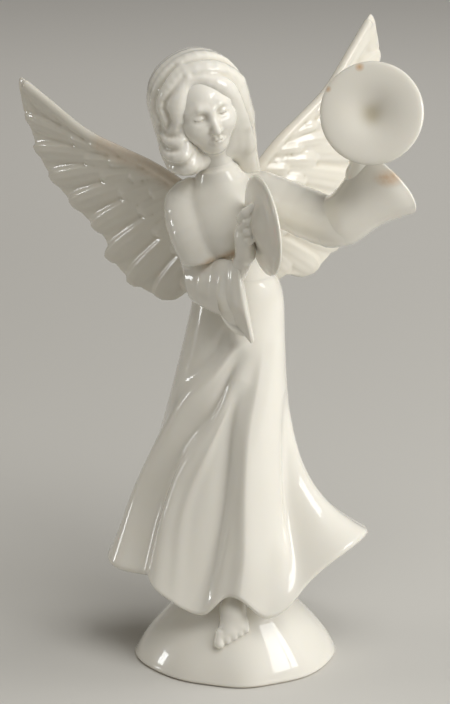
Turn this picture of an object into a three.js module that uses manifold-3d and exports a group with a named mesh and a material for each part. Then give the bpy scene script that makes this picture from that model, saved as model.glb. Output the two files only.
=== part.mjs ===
// A glazed porcelain angel with a pair of cymbals, as the separate castings that are luted together
// with slip before firing. Millimetres, +Z up, the figure faces -Y, and the origin is on the base's
// flat underside, straight below the waist. Left and right are the figure's own.
import * as THREE from "three";
import Module from "manifold-3d";

const wasm = await Module();
wasm.setup();

// Joints between castings
const slipGap = 0.4; // room for the slip between two castings
const wall = 3; // wall of the hollow castings
const sleeveWall = 1.7; // wall of the open bell sleeves

// Base mound
const baseHalfWidth = 29.6;
const baseForward = 3.5; // its middle lies in front of the skirt's axis
const baseFrontReach = 22.8; // from its own middle
const baseBackReach = 24;
const moundHeight = 25;
const moundTopRadius = 9.5;
const moundDome = 1.385; // how full the mound's flank is
const footEdge = 1.2; // rounding where the mound meets the table
const ventRadius = 3; // lets air out of the hollow castings in the kiln
const ventOffset = 12;
const plugLow = 0.93; // the plug that closes the skirt, as shares of the way down to the hem
const plugHigh = 0.87;

// Skirt
const waistHeight = 116;
const waistHalfWidth = 11;
const waistHalfDepth = 9;
const hipSwell = 1.6; // fullness below the waist on the figure's left
const hemRight = 37.5; // reach of the hem from the middle, on the figure's right
const hemLeft = 38;
const hemFront = 23;
const hemBack = 27;
const foldDepth = 2.2;
const hemClearance = 20.2; // lowest point of the hem above the table

// Torso
const lean = 10; // degrees that the torso leans to the figure's right
const bustHalfWidth = 12.5;
const bustDepth = 11.2;
const backDepth = 8.6;
const shoulderHeight = 24; // above the waist
const neckHeight = 31; // above the waist
const neckRadius = 4.9;

// Head and hair
const headHalfWidth = 9.6;
const headHalfDepth = 11;
const headHalfHeight = 12.6;
const headRise = 19; // middle of the head above the neck's root
const headTurn = 18; // degrees
const headNod = 9;
const headTilt = 6;
const hairThickness = 3.8; // over the sides of the head
const crownThickness = 2.7; // over the top of the head
const hairDrop = 17; // below the middle of the head
const faceHalfWidth = 9;

// Arms and sleeves
const armRadius = 5.3;
const raisedArmRadius = 6.8;
const sleeveHalfDepth = 5;
const raisedSleeveHalfDepth = 7.2;
const wristRadius = 2.3;
const palmLength = 11;
const fingerRadius = 1.55;

// Cymbals
const cymbalRadius = 13.9;
const cymbalThickness = 1.7;
const cupRadius = 6.2;
const cupDepth = 3;

// Wings
const rightWingSweep = 30; // degrees that the wing turns back from the shoulders
const leftWingSweep = 34;
const wingShift = -0.7; // the pair sits towards the figure's right
const wingSpacing = 5.8;
const wingRootHeight = 19;
const wingSpan = 54;
const wingRise = 40.4; // tip above the root
const wingDrop = 27.6; // lowest feather below the root
const wingThickness = 2.2;
const leadingEdge = 3.4;
const flightFeathers = 12;
const featherRelief = 0.8;
const featherScallop = 1.6;

// Foot
const toeHeight = 13.2; // of the middle toe on the mound
const footHalfWidth = 4.8;
const toeRadius = 1.25;

const { lerp, clamp, degToRad, smoothstep } = THREE.MathUtils;
const point = (x, y, z) => new THREE.Vector3(x, y, z);
const hairHalfWidth = headHalfWidth + hairThickness;
const hairTop = headHalfHeight + crownThickness;

// A closed solid through rings of points, each ring turning the same way round
function loft(rings) {
  const sides = rings[0].length;
  const points = rings.flat();
  const index = [];
  for (let ring = 0; ring < rings.length - 1; ring++) {
    for (let side = 0; side < sides; side++) {
      const a = ring * sides + side;
      const b = ring * sides + ((side + 1) % sides);
      index.push(a, b, b + sides, a, b + sides, a + sides);
    }
  }
  const close = (ring, turned) => {
    const middle = points.length;
    const first = ring * sides;
    const sum = rings[ring].reduce((total, p) => total.add(p), point(0, 0, 0));
    points.push(sum.divideScalar(sides));
    for (let side = 0; side < sides; side++) {
      const a = first + side;
      const b = first + ((side + 1) % sides);
      index.push(middle, turned ? b : a, turned ? a : b);
    }
  };
  close(0, true);
  close(rings.length - 1, false);
  return new THREE.BufferGeometry().setFromPoints(points).setIndex(index);
}

// Angles of a ring's points, anticlockwise
function turns(sides) {
  return Array.from({ length: sides }, (_, side) => (2 * Math.PI * side) / sides);
}

// A ring of an ellipse with the given middle and half axes
function ellipse(middle, first, second, sides) {
  return turns(sides).map((angle) =>
    middle.clone().addScaledVector(first, Math.cos(angle)).addScaledVector(second, Math.sin(angle)),
  );
}

// A round limb along a smooth path, with a radius at each of the path's points
function limb(path, radii, sides, steps) {
  const curve = new THREE.CatmullRomCurve3(path);
  const frames = curve.computeFrenetFrames(steps);
  const rings = [];
  for (let step = 0; step <= steps; step++) {
    const share = (step / steps) * (radii.length - 1);
    const low = Math.min(Math.floor(share), radii.length - 2);
    const radius = lerp(radii[low], radii[low + 1], share - low);
    const first = frames.normals[step].clone().multiplyScalar(radius);
    const second = frames.binormals[step].clone().multiplyScalar(radius);
    rings.push(ellipse(curve.getPoint(step / steps), first, second, sides));
  }
  return loft(rings);
}

// Joins and cuts
function toSolid(geometry) {
  const vertProperties = new Float32Array(geometry.getAttribute("position").array);
  const triVerts = new Uint32Array(geometry.getIndex().array);
  return new wasm.Manifold(new wasm.Mesh({ numProp: 3, vertProperties, triVerts }));
}

function toGeometry(solid) {
  const { vertProperties, triVerts } = solid.getMesh();
  return new THREE.BufferGeometry()
    .setAttribute("position", new THREE.BufferAttribute(new Float32Array(vertProperties), 3))
    .setIndex(new THREE.BufferAttribute(new Uint32Array(triVerts), 1));
}

const joined = (...parts) => toGeometry(parts.map(toSolid).reduce((all, part) => all.add(part)));
const hollowed = (outer, ...cuts) =>
  toGeometry(cuts.map(toSolid).reduce((all, cut) => all.subtract(cut), toSolid(outer)));

// The same surface moved out along its normals
function grown(geometry, distance) {
  const swollen = geometry.clone();
  swollen.computeVertexNormals();
  const place = swollen.getAttribute("position");
  const normal = swollen.getAttribute("normal");
  for (let i = 0; i < place.count; i++) {
    place.setXYZ(
      i,
      place.getX(i) + distance * normal.getX(i),
      place.getY(i) + distance * normal.getY(i),
      place.getZ(i) + distance * normal.getZ(i),
    );
  }
  swollen.deleteAttribute("normal");
  return swollen;
}

// The hem round the skirt, as [degrees from +X, height above its lowest point]
const hemHeights = [
  [0, 18.4],
  [45, 6.8],
  [90, 1.8],
  [135, 3.8],
  [180, 10.3],
  [205, 9.3],
  [241, 0],
  [267, 7],
  [291, 0.2],
  [351, 19.8],
  [360, 18.4],
];

function hemHeight(angle) {
  const degrees = THREE.MathUtils.euclideanModulo((angle * 180) / Math.PI, 360);
  const next = hemHeights.findIndex(([at]) => at > degrees);
  const [from, low] = hemHeights[next - 1];
  const [to, high] = hemHeights[next];
  const share = (degrees - from) / (to - from);
  return hemClearance + lerp(low, high, (1 - Math.cos(Math.PI * share)) / 2);
}

// The skirt's folds. Each has its half width before and after its line, in degrees, and the line as
// [share of the way down, degrees from +X, share of foldDepth]
const folds = [
  [10, 8, [[0.15, 290, 0], [0.3, 232, 0.45], [0.5, 200, 0.6], [0.75, 185, 1], [1, 191, 0.55]]],
  [9, 9, [[0.2, 282, 0], [0.33, 250, -0.5], [0.5, 217, -0.85], [0.75, 201, -1.2], [1, 204, -1.2]]],
  [9, 7, [[0.42, 245, 0], [0.6, 218, 0.35], [0.8, 214, 0.45], [1, 217, 0.4]]],
  [13, 9, [[0.3, 280, 0], [0.45, 262, -0.6], [0.7, 256, -0.85], [0.9, 247, -0.65], [1, 240, -0.45]]],
  [7, 38, [[0.2, 308, 0], [0.4, 286, 0.6], [0.6, 278, 0.8], [0.85, 276, 0.85], [1, 272, 0.7]]],
  [12, 13, [[0.42, 336, 0], [0.68, 328, -0.9], [0.85, 324, -1.6], [1, 320, -0.6]]],
  [14, 20, [[0.5, 352, 0], [0.7, 347, 0.4], [0.85, 346, 0.6], [1, 346, 0.6]]],
  [9, 9, [[0.12, 256, 0], [0.2, 238, -0.2], [0.3, 215, -0.2], [0.45, 200, 0]]],
  [10, 10, [[0.1, 8, 0], [0.5, 16, -0.4], [1, 22, -0.7]]],
  [9, 9, [[0.1, 30, 0], [0.5, 36, 0.45], [1, 40, 0.8]]],
  [10, 10, [[0.08, 54, 0], [0.5, 59, -0.5], [1, 62, -0.9]]],
  [11, 11, [[0.06, 82, 0], [0.5, 84, 0.55], [1, 84, 0.9]]],
  [10, 10, [[0.06, 112, 0], [0.5, 109, -0.5], [1, 108, -0.9]]],
  [10, 10, [[0.08, 138, 0], [0.5, 132, 0.45], [1, 130, 0.8]]],
  [10, 10, [[0.1, 160, 0], [0.5, 154, -0.45], [1, 152, -0.8]]],
  [8, 8, [[0.2, 174, 0], [0.6, 170, 0.25], [1, 170, 0.45]]],
];
const hipDrop = 0.1; // share of the way down to the fullest of the hip

// How much of each side's flare comes late, and how late it comes
const flareLeft = [0.72, 7.5];
const flareRight = [0.3, 4];
const flareFront = [0.1, 6];
const flareBack = [0.2, 6];

// Direction and depth of a fold at a share of the way down
function onLine(line, down) {
  const found = line.findIndex(([at]) => at >= down);
  const next = found < 0 ? line.length - 1 : Math.max(found, 1);
  const [from, startAngle, startDepth] = line[next - 1];
  const [to, endAngle, endDepth] = line[next];
  const share = clamp((down - from) / (to - from), 0, 1);
  return [lerp(startAngle, endAngle, share), lerp(startDepth, endDepth, share)];
}

function foldAt(angle, down) {
  const degrees = (angle * 180) / Math.PI;
  return folds.reduce((total, [before, after, line]) => {
    const [middle, depth] = onLine(line, down);
    const away = THREE.MathUtils.euclideanModulo(degrees - middle + 180, 360) - 180;
    const width = away < 0 ? before : after;
    return total + foldDepth * depth * Math.exp(-((away / width) ** 2));
  }, 0);
}

// Distance of the skirt's surface from its axis, for an angle and a share of the way down
function skirtRadius(angle, down) {
  const spread = (waist, hem, [late, power]) =>
    lerp(waist, hem, (1 - late) * down + late * down ** power);
  const across = Math.cos(angle);
  const forward = Math.sin(angle);
  const hip = hipSwell * (down / hipDrop) * Math.exp(1 - down / hipDrop);
  const halfWidth =
    across > 0
      ? spread(waistHalfWidth, hemLeft, flareLeft) + hip
      : spread(waistHalfWidth, hemRight, flareRight);
  const halfDepth =
    forward < 0
      ? spread(waistHalfDepth, hemFront, flareFront)
      : spread(waistHalfDepth, hemBack, flareBack);
  return 1 / Math.hypot(across / halfWidth, forward / halfDepth) + foldAt(angle, down);
}

// Rings round the skirt between two shares of the way down, the lower one first
function skirtRings(inset, low, high, steps, sides) {
  return Array.from({ length: steps + 1 }, (_, step) => {
    const down = lerp(low, high, step / steps);
    return turns(sides).map((angle) => {
      const radius = skirtRadius(angle, down) - inset;
      const height = lerp(waistHeight, hemHeight(angle), down);
      return point(radius * Math.cos(angle), radius * Math.sin(angle), height);
    });
  });
}

const raised = (ring, rise) => ring.map((p) => p.clone().setZ(p.z + rise));

// Distance of the mound's surface from its axis. Its foot is a softly three-cornered oval
function moundRadius(angle, height) {
  const reach = Math.sin(angle) < 0 ? baseFrontReach : baseBackReach;
  const oval = 1 / Math.hypot(Math.cos(angle) / baseHalfWidth, Math.sin(angle) / reach);
  const foot = oval * (1 + 0.025 * Math.cos(3 * (angle - degToRad(280))));
  return lerp(foot, moundTopRadius, (height / moundHeight) ** moundDome);
}

function moundRings(inset, low, high) {
  const steps = 6;
  return Array.from({ length: steps + 1 }, (_, step) => {
    const height = lerp(low, high, step / steps);
    return turns(40).map((angle) => {
      const radius = moundRadius(angle, height) - inset;
      return point(radius * Math.cos(angle), radius * Math.sin(angle) - baseForward, height);
    });
  });
}

// A round column at a place across the base
function column(radius, low, high, x) {
  const ring = (z) => ellipse(point(x, -baseForward, z), point(radius, 0, 0), point(0, radius, 0), 24);
  return loft([ring(low), ring(high)]);
}

function mound() {
  const rings = moundRings(0, footEdge, moundHeight);
  const sole = rings[0].map((p) => {
    const shrink = 1 - footEdge / Math.hypot(p.x, p.y + baseForward);
    return point(p.x * shrink, (p.y + baseForward) * shrink - baseForward, 0);
  });
  return loft([sole, ...rings]);
}

// The mound's neck carries a plug that closes the skirt a little above its hem
const plugRings = () => skirtRings(wall + 1.5 * slipGap, plugLow, plugHigh, 2, 40);

function neckTop() {
  const middle = plugRings()[1];
  return middle.reduce((total, p) => total + p.z, 0) / middle.length;
}

function baseOuter() {
  return joined(mound(), column(moundTopRadius, moundHeight / 2, neckTop(), 0), loft(plugRings()));
}

function baseMound() {
  const cavity = loft(moundRings(wall, wall, moundHeight - wall));
  const core = column(moundTopRadius - wall, 2 * wall, neckTop() + 4 * wall, 0);
  const vent = column(ventRadius, -wall, 2 * wall, ventOffset);
  return hollowed(baseOuter(), cavity, core, vent);
}

function skirt() {
  const inner = skirtRings(wall, 1, 0, 7, 40);
  const hollow = loft([raised(inner[0], -2 * wall), ...inner, raised(inner.at(-1), 2 * wall)]);
  return hollowed(loft(skirtRings(0, 1, 0, 15, 72)), hollow);
}

// The torso's rings as [height, half width, front, back] from the waist to the neck
const torsoRings = [
  [-8, waistHalfWidth, waistHalfDepth, waistHalfDepth],
  [0, waistHalfWidth - 0.4, waistHalfDepth - 0.6, waistHalfDepth - 0.8],
  [shoulderHeight * 0.25, waistHalfWidth, bustDepth - 1.6, backDepth - 0.6],
  [shoulderHeight * 0.55, bustHalfWidth - 0.4, bustDepth, backDepth],
  [shoulderHeight * 0.8, bustHalfWidth, bustDepth - 1.4, backDepth + 0.3],
  [shoulderHeight, bustHalfWidth - 1.2, bustDepth - 3.2, backDepth - 0.8],
  [lerp(shoulderHeight, neckHeight, 0.6), neckRadius + 2.4, neckRadius + 1, neckRadius + 1.6],
  [neckHeight, neckRadius + 0.5, neckRadius + 0.3, neckRadius + 0.5],
];

function torsoLoft(inset, rows, sides) {
  return loft(
    rows.map(([height, halfWidth, front, back]) =>
      turns(sides).map((angle) => {
        const depth = (Math.sin(angle) < 0 ? front : back) - inset;
        return point((halfWidth - inset) * Math.cos(angle), depth * Math.sin(angle), height);
      }),
    ),
  );
}

const bodiceOuter = () => torsoLoft(0, torsoRings, 26);

// The bodice ends in a spigot inside the skirt's waist, so its hollow is narrower there
function bodice() {
  const spigot = torsoLoft(2 * wall, torsoRings.slice(0, 3), 14);
  return hollowed(bodiceOuter(), spigot, torsoLoft(wall, torsoRings.slice(2, 6), 14));
}

// Face features as [x, z, half width, half height, relief], in shares of the head's half sizes
const face = [
  [0, -0.16, 0.11, 0.2, 2.1],
  [0, -0.28, 0.16, 0.08, 0.7],
  [0.36, 0.06, 0.2, 0.12, -0.9],
  [-0.36, 0.06, 0.2, 0.12, -0.9],
  [0, -0.53, 0.22, 0.07, 0.7],
  [0, -0.8, 0.22, 0.14, 0.8],
  [0.48, -0.25, 0.25, 0.2, 0.5],
  [-0.48, -0.25, 0.25, 0.2, 0.5],
];

function headPoint(across, up) {
  const level = Math.sin(up);
  const girth = Math.cos(up);
  const jaw = 1 - 0.2 * smoothstep(-level, 0.1, 1);
  const x = jaw * girth * Math.sin(across);
  const ahead = girth * Math.cos(across);
  const relief = face.reduce((total, [atX, atZ, halfWidth, halfHeight, height]) => {
    const away = ((x - atX) / halfWidth) ** 2 + ((level - atZ) / halfHeight) ** 2;
    return total + height * Math.exp(-away);
  }, 0);
  const front = ahead > 0 ? relief * smoothstep(ahead, 0, 0.5) : 0;
  return point(headHalfWidth * x, -headHalfDepth * ahead - front, headHalfHeight * level);
}

function headBall() {
  const rows = 18;
  const sides = 28;
  const rings = [];
  for (let row = 1; row < rows; row++) {
    const up = lerp(-Math.PI / 2, Math.PI / 2, row / rows);
    rings.push(turns(sides).map((angle) => headPoint(angle, up)));
  }
  return loft(rings);
}

function headOuter() {
  const neck = limb(
    [point(0, 0.6, neckHeight - 6), point(0, 0.3, neckHeight), point(-0.4, 0, neckHeight + headRise * 0.6)],
    [neckRadius + 0.6, neckRadius, neckRadius - 0.3],
    20,
    4,
  );
  return joined(headBall().applyMatrix4(headMatrix()), neck);
}

function headMatrix() {
  const turn = new THREE.Euler(degToRad(headNod), degToRad(-headTilt), degToRad(headTurn), "ZYX");
  return new THREE.Matrix4().makeRotationFromEuler(turn).setPosition(-1.7, -1.6, neckHeight + headRise);
}

// The hair's outline as [share of the height, share of the half width]
const hairOutline = [
  [0, 0.62],
  [0.05, 0.85],
  [0.17, 0.96],
  [0.36, 0.98],
  [0.56, 1],
  [0.72, 0.93],
  [0.86, 0.74],
  [0.96, 0.42],
  [1, 0.12],
];
const hairLocks = 12;
const lockRelief = 0.35;

function hairOuter() {
  return loft(
    hairOutline.map(([up, share]) => {
      const height = lerp(-hairDrop, hairTop, up);
      return turns(36).map((angle) => {
        const lock = lockRelief * Math.cos(hairLocks * angle + 3 * up) * Math.min(1, 4 * (1 - up));
        const radius = hairHalfWidth * share + lock;
        return point(radius * Math.cos(angle), 0.98 * radius * Math.sin(angle) + 1.6, height);
      });
    }),
  ).applyMatrix4(headMatrix());
}

// The opening in front of the face and throat
function faceWindow() {
  const open = (z, share) => ellipse(point(-0.6, -hairHalfWidth, z), point(share * faceHalfWidth, 0, 0),
    point(0, hairHalfWidth - 3.5, 0), 20);
  const heights = [-1.25, -0.9, -0.4, 0.1, 0.45, 0.68];
  const shares = [0.75, 0.85, 1, 0.98, 0.75, 0.3];
  return loft(heights.map((z, i) => open(z * headHalfHeight, shares[i]))).applyMatrix4(headMatrix());
}

const hair = () => hollowed(hairOuter(), faceWindow());

// Arms, in the torso's frame
const rightShoulder = point(-bustHalfWidth + 3.6, 0.4, shoulderHeight + 4);
const rightElbow = point(-12, -6, 5);
const leftShoulder = point(bustHalfWidth - 1.5, 0, shoulderHeight - 1.5);
const leftElbow = point(28, -6, 12.3);

function rightUpperArm() {
  const cap = point(-bustHalfWidth + 1.2, -0.2, shoulderHeight + 0.8);
  const middle = rightShoulder.clone().lerp(rightElbow, 0.5).add(point(-1.2, -1.4, 0));
  const deltoid = cap.clone().lerp(middle, 0.5).add(point(-0.4, -0.6, 0));
  const path = [rightShoulder, cap, deltoid, middle, rightElbow];
  return limb(path, [0.4, 0.8, 1, 1.02, 0.94].map((share) => share * armRadius), 20, 10);
}

function leftUpperArm() {
  const middle = leftShoulder.clone().lerp(leftElbow, 0.5).add(point(0, 0.4, -0.6));
  const path = [leftShoulder, middle, leftElbow];
  return limb(path, [0.85 * raisedArmRadius, raisedArmRadius, raisedArmRadius], 22, 7);
}

// A bell sleeve through pairs of a top and a bottom point, with its half depth along a direction
function sleeve(pairs, across, halfDepth, inset) {
  const deep = across.clone().normalize().multiplyScalar(halfDepth - inset);
  return loft(
    pairs.map(([top, bottom]) => {
      const middle = top.clone().add(bottom).multiplyScalar(0.5);
      const half = top.clone().sub(middle);
      half.setLength(half.length() - inset);
      return ellipse(middle, half, deep, 24);
    }),
  );
}

// The inner pairs, carried on past the opening
function past(pairs, share) {
  const [before, mouth] = pairs.slice(-2);
  const beyond = mouth.map((p, i) => p.clone().add(p.clone().sub(before[i]).multiplyScalar(share)));
  return [...pairs.slice(-3), beyond];
}

const rightSleevePairs = [
  [rightElbow.clone().add(point(-4, 1, 3)), rightElbow.clone().add(point(-2.9, 1, -8.6))],
  [point(-8, -9.6, 9.2), point(-10, -9.4, -6)],
  [point(-2.5, -14.5, 9.8), point(-4.6, -13.2, -8.4)],
  [point(0.8, -16.6, 9.7), point(-0.6, -15.8, -12.6)],
  [point(1.8, -17.2, 9.6), point(1.1, -16, -15.7)],
];
const rightSleeveAcross = point(-0.2, -0.98, 0);

const leftSleevePairs = [
  [leftElbow.clone().add(point(-1, 0, 6.9)), leftElbow.clone().add(point(-0.4, 0, -7))],
  [point(30, -7, 20.4), point(34, -7.5, 5.4)],
  [point(33.9, -8, 24), point(42, -9, 9.6)],
  [point(36.8, -8.8, 28.4), point(48.4, -10.4, 11.4)],
  [point(38.2, -9.4, 30.8), point(51.5, -11, 12.1)],
];
const leftSleeveAcross = point(-0.48, -0.86, -0.08);

const rightSleeveOuter = () => sleeve(rightSleevePairs, rightSleeveAcross, sleeveHalfDepth, 0);
const leftSleeveOuter = () => sleeve(leftSleevePairs, leftSleeveAcross, raisedSleeveHalfDepth, 0);

function rightSleeve() {
  const hollow = sleeve(past(rightSleevePairs, 1), rightSleeveAcross, sleeveHalfDepth, sleeveWall);
  return hollowed(rightSleeveOuter(), hollow);
}

function leftSleeve() {
  const hollow = sleeve(past(leftSleevePairs, 1), leftSleeveAcross, raisedSleeveHalfDepth, sleeveWall);
  return hollowed(leftSleeveOuter(), hollow);
}

// A hand that grips a cymbal's boss from behind, with its forearm up to inside the sleeve
function hand(forearm, boss, fingerUp) {
  const wrist = forearm.at(-1);
  const reach = boss.clone().sub(wrist);
  const palmMiddle = wrist.clone().addScaledVector(reach, 0.55);
  const armRadii = [1.3, 1.15, 1, 0.95].map((share) => share * wristRadius);
  const arm = limb([...forearm, palmMiddle], armRadii, 12, 6);
  const palm = new THREE.SphereGeometry(palmLength / 2, 12, 8);
  const fingers = [-1.5, -0.5, 0.5, 1.5].map((place) => {
    const knuckle = palmMiddle.clone().addScaledVector(fingerUp, 1.9 * fingerRadius * place);
    const tip = boss.clone().addScaledVector(fingerUp, 1.7 * fingerRadius * place);
    const radii = [1.1, 1, 0.8].map((share) => share * fingerRadius);
    return limb([knuckle, knuckle.clone().lerp(tip, 0.5), tip], radii, 8, 3);
  });
  const flat = new THREE.Matrix4().lookAt(point(0, 0, 0), reach, fingerUp).scale(point(0.6, 0.9, 0.8));
  palm.applyMatrix4(flat.setPosition(palmMiddle));
  return joined(arm, welded(palm), ...fingers);
}

// The same geometry with shared corners merged and nothing but positions
function welded(geometry) {
  const place = geometry.getAttribute("position");
  const corners = new Map();
  const points = [];
  const shared = Array.from({ length: place.count }, (_, i) => {
    const p = point(0, 0, 0).fromBufferAttribute(place, i);
    const key = p.toArray().map((value) => Math.round(value * 1e4)).join();
    if (!corners.has(key)) corners.set(key, points.push(p) - 1);
    return corners.get(key);
  });
  const index = [];
  const old = geometry.getIndex();
  for (let i = 0; i < old.count; i += 3) {
    const [a, b, c] = [0, 1, 2].map((corner) => shared[old.getX(i + corner)]);
    if (a !== b && b !== c && c !== a) index.push(a, b, c);
  }
  return new THREE.BufferGeometry().setFromPoints(points).setIndex(index);
}

// Cymbals: a dished disc whose cup is hollow on the striking side
function cymbal() {
  const shares = [0, 0.14, 0.28, 0.42, 0.6, 0.8, 0.97];
  const dish = (radius) => -cupDepth * Math.exp(-((radius / cupRadius) ** 2));
  const strike = shares.map((share) => new THREE.Vector2(share * cymbalRadius, dish(share * cymbalRadius)));
  const behind = strike.map((p) => new THREE.Vector2(p.x, p.y - cymbalThickness)).reverse();
  const rim = new THREE.Vector2(cymbalRadius, dish(cymbalRadius) - cymbalThickness / 2);
  const profile = [...strike, rim, ...behind].reverse();
  return welded(new THREE.LatheGeometry(profile, 32)).rotateX(Math.PI / 2);
}

const rightCymbalMiddle = point(11.1, -22, 18.6);
const rightStrike = point(0.948, 0.315, -0.07).normalize();
const leftCymbalMiddle = point(44, -22, 44.2);
const leftStrike = point(-0.064, -0.94, 0.326).normalize();
const bossDepth = cupDepth + cymbalThickness + slipGap; // the grip's place behind a cymbal's middle
const bossOf = (middle, strike) => middle.clone().addScaledVector(strike, -bossDepth);

function rightHand() {
  const forearm = [point(-6, -12.4, 3), point(-0.5, -15.6, 5), point(4.6, -18.6, 10)];
  return hand(forearm, bossOf(rightCymbalMiddle, rightStrike), point(0.1, 0, 1).normalize());
}

function leftHand() {
  const forearm = [point(35.4, -8.6, 18), point(37.6, -9.8, 25.5), point(40.6, -13, 33.5)];
  return hand(forearm, bossOf(leftCymbalMiddle, leftStrike), point(1, 0, 0.1).normalize());
}

// Wings: feathers fan from the wing's arm to a scalloped edge, both as shares of the wing's sizes
const wingArm = [
  [-0.06, -0.46],
  [-0.07, -0.1],
  [0.06, 0.12],
  [0.24, 0.31],
  [0.42, 0.44],
  [0.62, 0.58],
];
const wingEdge = [
  [0.16, -0.92],
  [0.33, -1],
  [0.5, -0.85],
  [0.62, -0.6],
  [0.66, -0.3],
  [0.78, -0.04],
  [0.9, 0.16],
  [0.99, 0.36],
  [1.02, 0.58],
  [1.03, 0.8],
  [1, 1],
];

function wingCurve(shares) {
  return new THREE.CatmullRomCurve3(
    shares.map(([out, up]) => point(out * wingSpan, 0, up * (up > 0 ? wingRise : wingDrop))),
  );
}

// The left wing has side 1 and the right wing -1
function wing(side) {
  const perFeather = 3;
  const columns = flightFeathers * perFeather;
  const rows = 6;
  const arm = wingCurve(wingArm);
  const edge = wingCurve(wingEdge);
  const halves = [-1, 1].map((face) => {
    const lines = [];
    for (let column = 0; column <= columns; column++) {
      const along = column / columns;
      const within = (column % perFeather) / perFeather;
      const ridge = Math.sin(Math.PI * within);
      const root = arm.getPoint(along);
      const tip = edge.getPoint(along);
      tip.addScaledVector(tip.clone().sub(root).normalize(), featherScallop * (ridge - 0.5));
      lines.push(
        Array.from({ length: rows + 1 }, (_, row) => {
          const out = row / rows;
          const edgeRoll = (leadingEdge - wingThickness) * Math.exp(-((out / 0.16) ** 2));
          const thick = wingThickness * (1 - 0.35 * out) + edgeRoll + featherRelief * ridge * out;
          const p = root.clone().lerp(tip, out);
          p.y = (face * thick) / 2 - 2.4 * Math.sin(Math.PI * out);
          p.x *= side;
          return p;
        }),
      );
    }
    return lines;
  });
  const rings = halves[0].map((line, i) => {
    const ring = [...line, ...halves[1][i].slice().reverse()];
    return side > 0 ? ring : ring.reverse();
  });
  return loft(rings);
}

// Foot, down the mound's front from inside the skirt. Big toe towards the figure's right
function foot() {
  const front = degToRad(268);
  const ankle = point(-0.8, -15.5, moundHeight + 3);
  const ball = point(-0.5, -0.6 - baseForward - moundRadius(front, toeHeight), toeHeight);
  const toeLine = point(0.82, 0.22, 0.53).normalize();
  const down = ball.clone().sub(ankle).normalize();
  const up = point(1, 0, 0).cross(down).negate();
  const ring = (share, halfWidth, halfHeight) => {
    const side = point(1, 0, 0).lerp(toeLine, share).setLength(halfWidth * footHalfWidth);
    return ellipse(ankle.clone().lerp(ball, share), side, up.clone().setLength(halfHeight), 16);
  };
  const sole = loft([
    ring(0, 0.7, 3.2),
    ring(0.3, 0.76, 3.2),
    ring(0.6, 0.9, 2.7),
    ring(0.84, 1, 2.1),
    ring(1, 0.94, 1.3),
  ]);
  const toes = [-0.86, -0.4, 0, 0.38, 0.74].map((across, i) => {
    const radius = toeRadius * (i === 0 ? 1.25 : 1 - 0.05 * i);
    const middle = ball.clone().addScaledVector(toeLine, across * footHalfWidth).addScaledVector(up, 0.5);
    return welded(new THREE.SphereGeometry(radius, 8, 6)).translate(middle.x, middle.y, middle.z);
  });
  return joined(sole, ...toes);
}

// One ivory glaze over the whole figure
const ivory = new THREE.MeshStandardMaterial({ color: 0xe9e4d8, roughness: 0.12, metalness: 0 });

// Assembly
const figure = new THREE.Group();
const torso = new THREE.Group();
torso.position.set(0, 0, waistHeight);
torso.rotation.y = degToRad(-lean);
const rightWingMount = new THREE.Group();
const leftWingMount = new THREE.Group();
rightWingMount.position.set(wingShift - wingSpacing, backDepth - 0.1, wingRootHeight);
rightWingMount.rotation.z = degToRad(-rightWingSweep);
leftWingMount.position.set(wingShift + wingSpacing, backDepth - 0.1, wingRootHeight);
leftWingMount.rotation.z = degToRad(leftWingSweep);
torso.add(rightWingMount, leftWingMount);
figure.add(torso);

const outers = new Map(); // each casting's form with room for slip, which its neighbours are cut by

function place(name, parent, geometry, material, outer) {
  const mesh = new THREE.Mesh(geometry, material);
  mesh.name = name;
  parent.add(mesh);
  figure.updateMatrixWorld(true);
  outers.set(name, grown(outer ?? geometry, slipGap).applyMatrix4(mesh.matrixWorld));
  return mesh;
}

// Fits a casting to its neighbours. The cut keeps the casting's main body
function fit(mesh, ...neighbours) {
  const cut = neighbours.reduce(
    (solid, name) => solid.subtract(toSolid(outers.get(name))),
    toSolid(mesh.geometry.clone().applyMatrix4(mesh.matrixWorld)),
  );
  const main = cut.decompose().reduce((best, body) => (body.volume() > best.volume() ? body : best));
  mesh.geometry = toGeometry(main).applyMatrix4(mesh.matrixWorld.clone().invert());
}

function aimed(geometry, middle, strike) {
  const turn = new THREE.Quaternion().setFromUnitVectors(point(0, 0, 1), strike);
  return geometry.applyQuaternion(turn).translate(middle.x, middle.y, middle.z);
}

place("base_mound", figure, baseMound(), ivory, baseOuter());
fit(place("skirt", figure, skirt(), ivory), "base_mound");
fit(place("left_foot", figure, foot(), ivory), "base_mound", "skirt");
fit(place("bodice", torso, bodice(), ivory, bodiceOuter()), "skirt");
fit(place("head", torso, headOuter(), ivory), "bodice");
fit(place("hair", torso, hair(), ivory, hairOuter()), "head", "bodice");
place("right_cymbal", torso, aimed(cymbal(), rightCymbalMiddle, rightStrike), ivory);
place("left_cymbal", torso, aimed(cymbal(), leftCymbalMiddle, leftStrike), ivory);
fit(place("right_upper_arm", torso, rightUpperArm(), ivory), "bodice", "hair");
fit(place("left_upper_arm", torso, leftUpperArm(), ivory), "bodice", "hair");
fit(place("right_hand", torso, rightHand(), ivory), "right_cymbal", "bodice");
fit(place("left_hand", torso, leftHand(), ivory), "left_cymbal");
fit(
  place("right_sleeve", torso, rightSleeve(), ivory, rightSleeveOuter()),
  "right_upper_arm", "bodice", "skirt", "right_hand", "right_cymbal",
);
fit(
  place("left_sleeve", torso, leftSleeve(), ivory, leftSleeveOuter()),
  "left_upper_arm", "bodice", "left_hand", "left_cymbal",
);
const besideWings = ["bodice", "hair", "skirt"];
const rightWing = place("right_wing", rightWingMount, wing(-1), ivory);
const leftWing = place("left_wing", leftWingMount, wing(1), ivory);
fit(rightWing, ...besideWings, "right_upper_arm", "right_sleeve");
fit(leftWing, ...besideWings, "left_upper_arm", "left_sleeve", "right_wing");

export default figure;
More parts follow.
